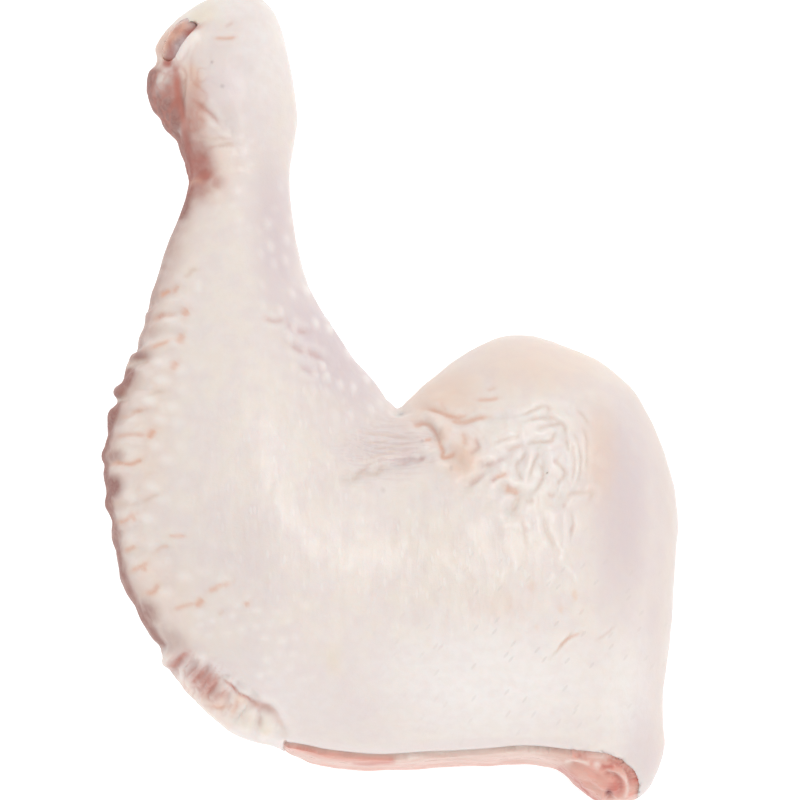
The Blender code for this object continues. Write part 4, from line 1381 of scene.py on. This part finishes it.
@dataclass
class LegSkin(SoftPiece):
    """The skin over the drumstick and the thigh."""

    node: str = "skin"
    name: str = "leg_skin"
    slot: str = "skin"
    step: float = 0.95
    fine_step: float = 0.48
    near_fold: float = 1.9
    side_fade: tuple[float, float] = (-0.5, -0.05)
    bump_fade: tuple[float, float] = (-0.05, 0.35)
    dark_fade: tuple[float, float] = (-0.2, 0.12)
    full_tint_depth: float = 0.16
    swell: float = 0.26
    depth: float = 0.36
    core: float = 0.62
    shoulder_at: float = 1.75
    shoulder: float = 0.8

    def folds(self) -> tuple[Fold, ...]:
        """Every named fold of the skin."""
        legs_side = FOLDS_AT_HOCK + FOLDS_OF_BACK + FOLDS_OF_SIDE + FOLDS_AT_KNEE
        return legs_side + FOLDS_AT_NOTCH + FOLDS_OF_WEB + FOLDS_OF_CRUMPLE + RIDGES

    def wants_fine(self, across: np.ndarray, down: np.ndarray) -> np.ndarray:
        """Which points lie on the crumpled skin, at the knee, in the hock or near a fold."""
        places = (
            Patch("crumple", (520, 460), (110, 85)),
            Patch("pucker", (215, 690), (60, 40)),
            Patch("hock opening", (180, 75), (34, 60)),
            Patch("drumstick, right side", (330, 340), (44, 96), 1.0, 36.0),
        )
        fine = strongest(places, across, down) > self.in_place
        for fold in self.folds():
            fine |= fold.nearness(across, down)[0] < self.near_fold
        return fine

    def weave(self, points: np.ndarray, across: np.ndarray, down: np.ndarray) -> np.ndarray:
        """The heights of the skin between its named folds, in millimetres."""
        height = 0.25 * lattice_noise(points, (11, 11, 11), 1.0)
        height += 0.14 * lattice_noise(points, (4.6, 4.6, 4.6), 2.0)
        height += 0.06 * lattice_noise(points, (1.9, 1.9, 1.9), 3.0)
        for bump in BUMPS:
            height += bump.height * bump.place.amount(across, down)
        return height

    def wrinkles(self, points: np.ndarray) -> list[tuple[Wrinkles, np.ndarray]]:
        """Each wrinkled place with its heights at points, in millimetres."""
        across, down = PHOTO.pixels_of(points)
        swirl = lattice_noise(points, (3.6, 3.6, 3.6), 4.0)[:, None]
        slant = np.array([[0.7, 0.7, 0.0], [-0.7, 0.7, 0.0], [0.0, 0.0, 1.0]])
        warped = points + 1.1 * MM * swirl
        run = {Grain.STRAIGHT: points, Grain.WARPED: warped, Grain.SLANTING: points @ slant}
        made = []
        for kind in WRINKLES:
            rough = ridged(lattice_noise(run[kind.grain], kind.size, kind.seed))
            made.append((kind, kind.depth * kind.place.amount(across, down) * rough))
        return made

    def relief(self, points: np.ndarray, normals: np.ndarray) -> tuple[np.ndarray, dict[str, np.ndarray]]:
        """The skin's folds, wrinkles, bumps and feather roots, and the colours that go with them, with their
        painted shade and painted highlights, the painted shade of the left rims and painted light on the cut
        face.
        """
        across, down = PHOTO.pixels_of(points)
        facing = PHOTO.facing(normals)
        above = smoothstep(*self.side_fade, facing)
        well_above = smoothstep(*self.bump_fade, facing)
        height = self.weave(points, across, down)
        colours = {tint.value: np.zeros(len(points)) for tint in Tint}
        # Painted highlight, gathered from wrinkle tops, bumps, ridges and the shoulders of folds.
        painted_highlight = colours[Tint.PAINTED_HIGHLIGHT.value]
        for kind, wrinkle in self.wrinkles(points):
            height += wrinkle * above
            # Crease colour, darkened as painted shade, where the wrinkle lies deep, and painted highlight on
            # its top.
            fold_colour = colours[kind.tint.value]
            np.maximum(fold_colour, kind.tint_strength * np.clip(-wrinkle / self.full_tint_depth, 0.0, 1.0), out=fold_colour)
            np.maximum(painted_highlight, np.clip(1.6 * wrinkle, 0.0, 0.5), out=painted_highlight)
        for stipple in STIPPLES:
            bumps = stipple.amount(across, down) * well_above
            height += stipple.height * bumps
            # Painted highlight on each bump.
            np.maximum(painted_highlight, bumps, out=painted_highlight)
        for fold in self.folds():
            distance, share = fold.nearness(across, down)
            middle = share * bell(distance, self.core * fold.width)
            shoulder = share * bell(distance, self.shoulder * fold.width, self.shoulder_at * fold.width)
            way = 1.0 if fold.tint is Tint.PAINTED_HIGHLIGHT else -1.0
            height += way * self.depth * fold.depth * (middle - self.swell * shoulder) * above
            # Crease colour with painted shade along a fold's bottom, and a painted highlight along a ridge's
            # top.
            fold_colour = colours[fold.tint.value]
            np.maximum(fold_colour, 0.8 * fold.tint_strength * middle, out=fold_colour)
            # Painted highlight on a fold's shoulders.
            if fold.tint is not Tint.PAINTED_HIGHLIGHT:
                np.maximum(painted_highlight, 0.6 * min(fold.depth, 0.6) * shoulder, out=painted_highlight)
        for tone, places in SKIN_TONES.items():
            colours[tone.value] = strongest(places, across, down)
        # The mauve, with its painted rim shade, and the blush fade out on faces turned away from the camera,
        # and the painted highlight fades where they are dark.
        dark = (colours[Tone.MAUVE.value], colours[Tone.BLUSH.value])
        for amount in dark:
            amount *= smoothstep(*self.dark_fade, facing)
        painted_highlight *= 1.0 - 0.85 * np.clip(np.maximum(*dark), 0.0, 1.0)
        # Painted light: the skin's cut face along its lower edge, which lies in the shade under that edge, is
        # made white with a little blush.
        edge, _ = Fold("skin edge", 1.0, 0.0, Tint.BEIGE, SKIN_EDGE).nearness(across, down)
        cut = smoothstep(0.7, 0.92, -normals[:, 1]) * smoothstep(2.4, 1.2, edge)
        for tone, share in ((Tone.WHITE, 1.0), (Tone.BLUSH, 0.16)):
            np.maximum(colours[tone.value], share * cut, out=colours[tone.value])
        colours["web"] = Patch("web", (388, 450), (46, 30), 1.0, 12.0).amount(across, down)
        upright = (Patch("drumstick", (300, 500), (100, 140), 0.8), Patch("thigh", (450, 565), (120, 80)))
        colours["upright"] = strongest(upright, across, down)
        colours["slanting"] = Patch("lower thigh", (540, 640), (140, 110), 0.6).amount(across, down)
        height *= smoothstep(0.3, 3.0, edge)
        return height, {name: amount * above for name, amount in colours.items()}

    def pulls(self) -> tuple[Pull, ...]:
        """The notch, drawn in, and the right lip of the hock's opening, drawn over the hollow."""
        lip = Pull(Patch("lip of the opening", (194, 46), (9, 26), 1.0, -36.0), (-1.3, 0.8, 0.5))
        return (*NOTCH_PULLS, lip)

    def finish(self) -> bpy.types.Material:
        """The material of the skin."""
        return SkinFinish().build()


FOLDS_OF_NUB = folds_of(
    Tint.BLUSH,
    ("nub, outer turn", 0.9, 0.8, 1.0, (594, 761), (610, 760), (624, 766), (631, 778), (627, 792)),
    ("nub, inner turn", 0.8, 0.7, 1.0, (600, 776), (610, 773), (619, 779), (621, 790), (614, 798)),
    ("nub, middle", 0.9, 1.0, 0.5, (607, 792), (609, 796), (610, 802)),
    ("nub, cross furrow", 0.5, 0.6, 1.0, (575, 749), (577, 756), (584, 759)),
    ("nub, top furrow", 0.7, 0.5, 1.0, (598, 766), (607, 767), (616, 764)),
) + folds_of(
    Tint.PEACH,
    ("nub, left furrow", 0.9, 0.6, 1.0, (566, 762), (578, 766), (592, 772), (600, 782)),
    ("nub, low furrow", 0.8, 0.5, 1.0, (584, 778), (594, 787), (604, 794)),
)

FLESH_TONES = {
    Tone.PEACH: (
        Patch("nub", (602, 776), (36, 24), 0.7, -30.0),
        Patch("nub, top right", (618, 761), (12, 7), 0.7, -30.0),
        Patch("nub, start", (577, 753), (7, 6), 0.9),
        Band("nub, right side", ((628, 766), (636, 776), (636, 788), (630, 796)), 5.0, 0.9),
        Band("under the skin's edge", ((284, 746), (310, 751), (340, 757), (390, 761)), 5.0, 0.85),
        Band("under the skin's edge, right", ((556, 747), (575, 751), (600, 756)), 4.0, 0.6),
        Band("foot of the strip", ((300, 764), (360, 770), (430, 768), (520, 766), (566, 772)), 4.0, 0.5),
    ),
    Tone.BLUSH: (
        Patch("nub, red", (616, 788), (10, 8), 0.7, 20.0),
        Patch("nub, second red", (586, 754), (6, 4), 0.7, -20.0),
        Band("strip, red line", ((354, 764), (366, 765), (378, 764), (394, 762)), 2.0, 0.5),
        Band("strip, upper red line", ((284, 745), (300, 748), (314, 751)), 1.8, 0.5),
        Band("left end", ((283, 738), (284, 748)), 2.0, 0.6),
        Band("nub, lower left edge", ((560, 770), (572, 777), (580, 786), (590, 797), (600, 803)), 4.0, 0.7),
        Band("nub, right edge", ((634, 770), (639, 780), (638, 792)), 2.0, 0.8),
        Band("foot of the strip", ((480, 768), (520, 766), (562, 772)), 1.6, 0.5),
    ),
    Tone.MAUVE: (Patch("red spot", (609, 794), (3.4, 4.6), 1.0),),
    Tone.WHITE: (
        Band("membrane, left", ((566, 762), (578, 761), (588, 763)), 1.8, 0.8),
        Patch("ivory place", (597, 765), (4, 4), 0.7),
        Band("membrane, turn", ((609, 771), (620, 774), (626, 780), (628, 788), (626, 796)), 1.8, 0.6),
        # Painted light: the strip's upper part and the flesh beside the skin's edge, which lie in the shade
        # under that edge, are made paler.
        Band("strip, upper part", ((400, 757), (470, 753), (540, 750)), 5.0, 0.6),
        Band("beside the skin's edge", ((410, 758), (430, 754), (480, 751), (530, 749)), 3.6, 1.0),
        Band("beside the skin's edge, right", ((530, 749), (575, 752), (606, 760)), 3.0, 0.6),
        Patch("left end", (276, 740), (14, 10), 0.4),
    ),
}


@dataclass
class LegFlesh(SoftPiece):
    """The meat that shows along the cut and as the nub at the hip corner, and under the thigh."""

    node: str = "flesh"
    name: str = "leg_flesh"
    slot: str = "flesh"
    step: float = 0.8
    fine_step: float = 0.5
    rounds: int = 8
    passes: int = 5
    depth: float = 0.9
    swell: float = 0.3
    core: float = 0.7
    shoulder_at: float = 1.7
    shoulder: float = 0.8
    sunk: float = 0.12

    def wants_fine(self, across: np.ndarray, down: np.ndarray) -> np.ndarray:
        """Which points lie on the strip or the nub."""
        places = (Band("strip", SKIN_EDGE, 16.0), Patch("nub", (606, 776), (44, 34)))
        return strongest(places, across, down) > self.in_place

    def relief(self, points: np.ndarray, normals: np.ndarray) -> tuple[np.ndarray, dict[str, np.ndarray]]:
        """The flesh's fibres and the turns of its nub, and the colours that go with them."""
        across, down = PHOTO.pixels_of(points)
        height = 0.22 * lattice_noise(points, (5.0, 3.2, 3.2), 21.0)
        height += 0.07 * lattice_noise(points, (2.0, 1.2, 1.2), 22.0)
        height += 0.1 * Patch("nub", (604, 776), (40, 30)).amount(across, down) * ridged(
            lattice_noise(points, (2.4, 2.4, 2.4), 24.0)
        )
        colours = {tone.value: strongest(places, across, down) for tone, places in FLESH_TONES.items()}
        for fold in FOLDS_OF_NUB:
            distance, share = fold.nearness(across, down)
            shoulder = bell(distance, self.shoulder * fold.width, self.shoulder_at * fold.width)
            height -= self.depth * fold.depth * share * bell(distance, self.core * fold.width)
            height += self.swell * fold.depth * share * shoulder
            fold_colour = colours[Tone.BLUSH.value if fold.tint is Tint.BLUSH else Tone.PEACH.value]
            np.maximum(fold_colour, 0.6 * share * bell(distance, self.shoulder * fold.width), out=fold_colour)
        return height - self.sunk, colours

    def pulls(self) -> tuple[Pull, ...]:
        """The notch, drawn in."""
        return NOTCH_PULLS

    def finish(self) -> bpy.types.Material:
        """The material of the flesh."""
        return FleshFinish().build()


GRISTLE_TONES = {
    Tone.PEACH: (
        Band("membrane, left", ((158, 62), (161, 50), (167, 40), (176, 31), (184, 26)), 6.0, 1.0),
        Patch("foot of the opening", (164, 62), (8, 4), 0.8),
    ),
    Tone.BLUSH: (
        Band("beside the membrane", ((172, 38), (170, 47), (170, 56)), 2.2, 0.7),
        Patch("hollow", (170, 62), (6, 6), 1.0),
        Band("top of the opening", ((176, 32), (186, 34), (194, 31), (202, 24)), 3.0, 1.0),
    ),
}


@dataclass
class HockGristle(SoftPiece):
    """The end of the shank bone, swollen up into the opening at the hock."""

    node: str = "shank_bone"
    name: str = "hock_gristle"
    slot: str = "gristle"
    step: float = 0.6
    fine_step: float = 0.6
    rounds: int = 8
    lift: float = 2.6

    def mark_showing(self, shape: bmesh.types.BMesh, solids: list[BVHTree]) -> bmesh.types.BMLayerItem:
        """Marks every face, because the gristle swells up into the opening from below the skin."""
        showing = shape.faces.layers.int.new("showing")
        for face in shape.faces:
            face[showing] = 1
        return showing

    def relief(self, points: np.ndarray, normals: np.ndarray) -> tuple[np.ndarray, dict[str, np.ndarray]]:
        """The gristle's swelling, and the colours of the places where it ends up."""
        opening = Patch("opening", (182, 44), (24, 32), 1.0, -36.0).amount(*PHOTO.pixels_of(points))
        height = 0.12 * lattice_noise(points, (2.6, 2.6, 2.6), 31.0)
        height += self.lift * opening * smoothstep(0.1, 0.8, normals[:, 2])
        across, down = PHOTO.pixels_of(points + (MM * height)[:, None] * normals)
        return height, {tone.value: strongest(places, across, down) for tone, places in GRISTLE_TONES.items()}

    def pulls(self) -> tuple[Pull, ...]:
        """The end below the opening, swollen up into it."""
        left = Pull(Patch("left of the opening", (172, 52), (18, 20)), (-1.6, 0.6, 1.4), whole=True)
        top = Pull(Patch("top of the opening", (194, 42), (22, 14)), (1.5, 5.9, 2.2), whole=True)
        return (left, top)

    def finish(self) -> bpy.types.Material:
        """The material of the gristle."""
        return GristleFinish().build()


@dataclass(frozen=True)
class Lamp:
    """One soft square lamp that faces the leg."""

    name: str
    at: tuple[float, float, float]
    width: float
    power: float

    def build(self) -> None:
        """Makes the lamp."""
        data = bpy.data.lights.new(self.name, "AREA")
        data.size = self.width
        data.energy = self.power
        lamp = placed(self.name, data)
        lamp.location = self.at
        lamp.rotation_euler = (-Vector(self.at)).to_track_quat("-Z", "Y").to_euler()


@dataclass(frozen=True)
class Studio:
    """The pale table, the soft light from the upper right and the camera."""

    table: float = 6.0
    sky: float = 0.85
    lamps: tuple[Lamp, ...] = (
        Lamp("key_lamp", (0.35, 0.35, 1.3), 0.5, 6.0),
        Lamp("front_lamp", (0.1, -1.1, 0.5), 0.9, 2.0),
    )

    def build(self) -> None:
        """Makes the floor, the sky, the lamps and the camera."""
        shape = bmesh.new()
        bmesh.ops.create_grid(shape, x_segments=1, y_segments=1, size=self.table / 2)
        mesh = mesh_of(shape, "table_top")
        mesh.materials.append(FloorFinish().build())
        placed("table_top", mesh)
        world = bpy.data.worlds.new("studio_sky")
        world.use_nodes = True
        sky = world.node_tree.nodes["Background"]
        sky.inputs["Color"].default_value = (1.0, 1.0, 1.0, 1.0)
        sky.inputs["Strength"].default_value = self.sky
        bpy.context.scene.world = world
        bpy.context.scene.view_settings.view_transform = "Standard"
        for lamp in self.lamps:
            lamp.build()
        PHOTO.build()


def tree_of(mesh: bpy.types.Mesh) -> BVHTree:
    """A mesh made ready for rays and for its nearest point."""
    shape = bmesh.new()
    shape.from_mesh(mesh)
    tree = BVHTree.FromBMesh(shape)
    shape.free()
    return tree


def main() -> None:
    """Builds the studio and the three pieces."""
    logging.basicConfig(level=logging.INFO, format="%(message)s")
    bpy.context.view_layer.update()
    Studio().build()
    LOG.info("studio: table, sky, lamps and camera")
    solids = [tree_of(node.data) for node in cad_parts.values()]
    skin = LegSkin().build(solids, [])
    LegFlesh().build(solids, [tree_of(skin.data)])
    HockGristle().build(solids, [])


if __name__ == "__main__":
    main()
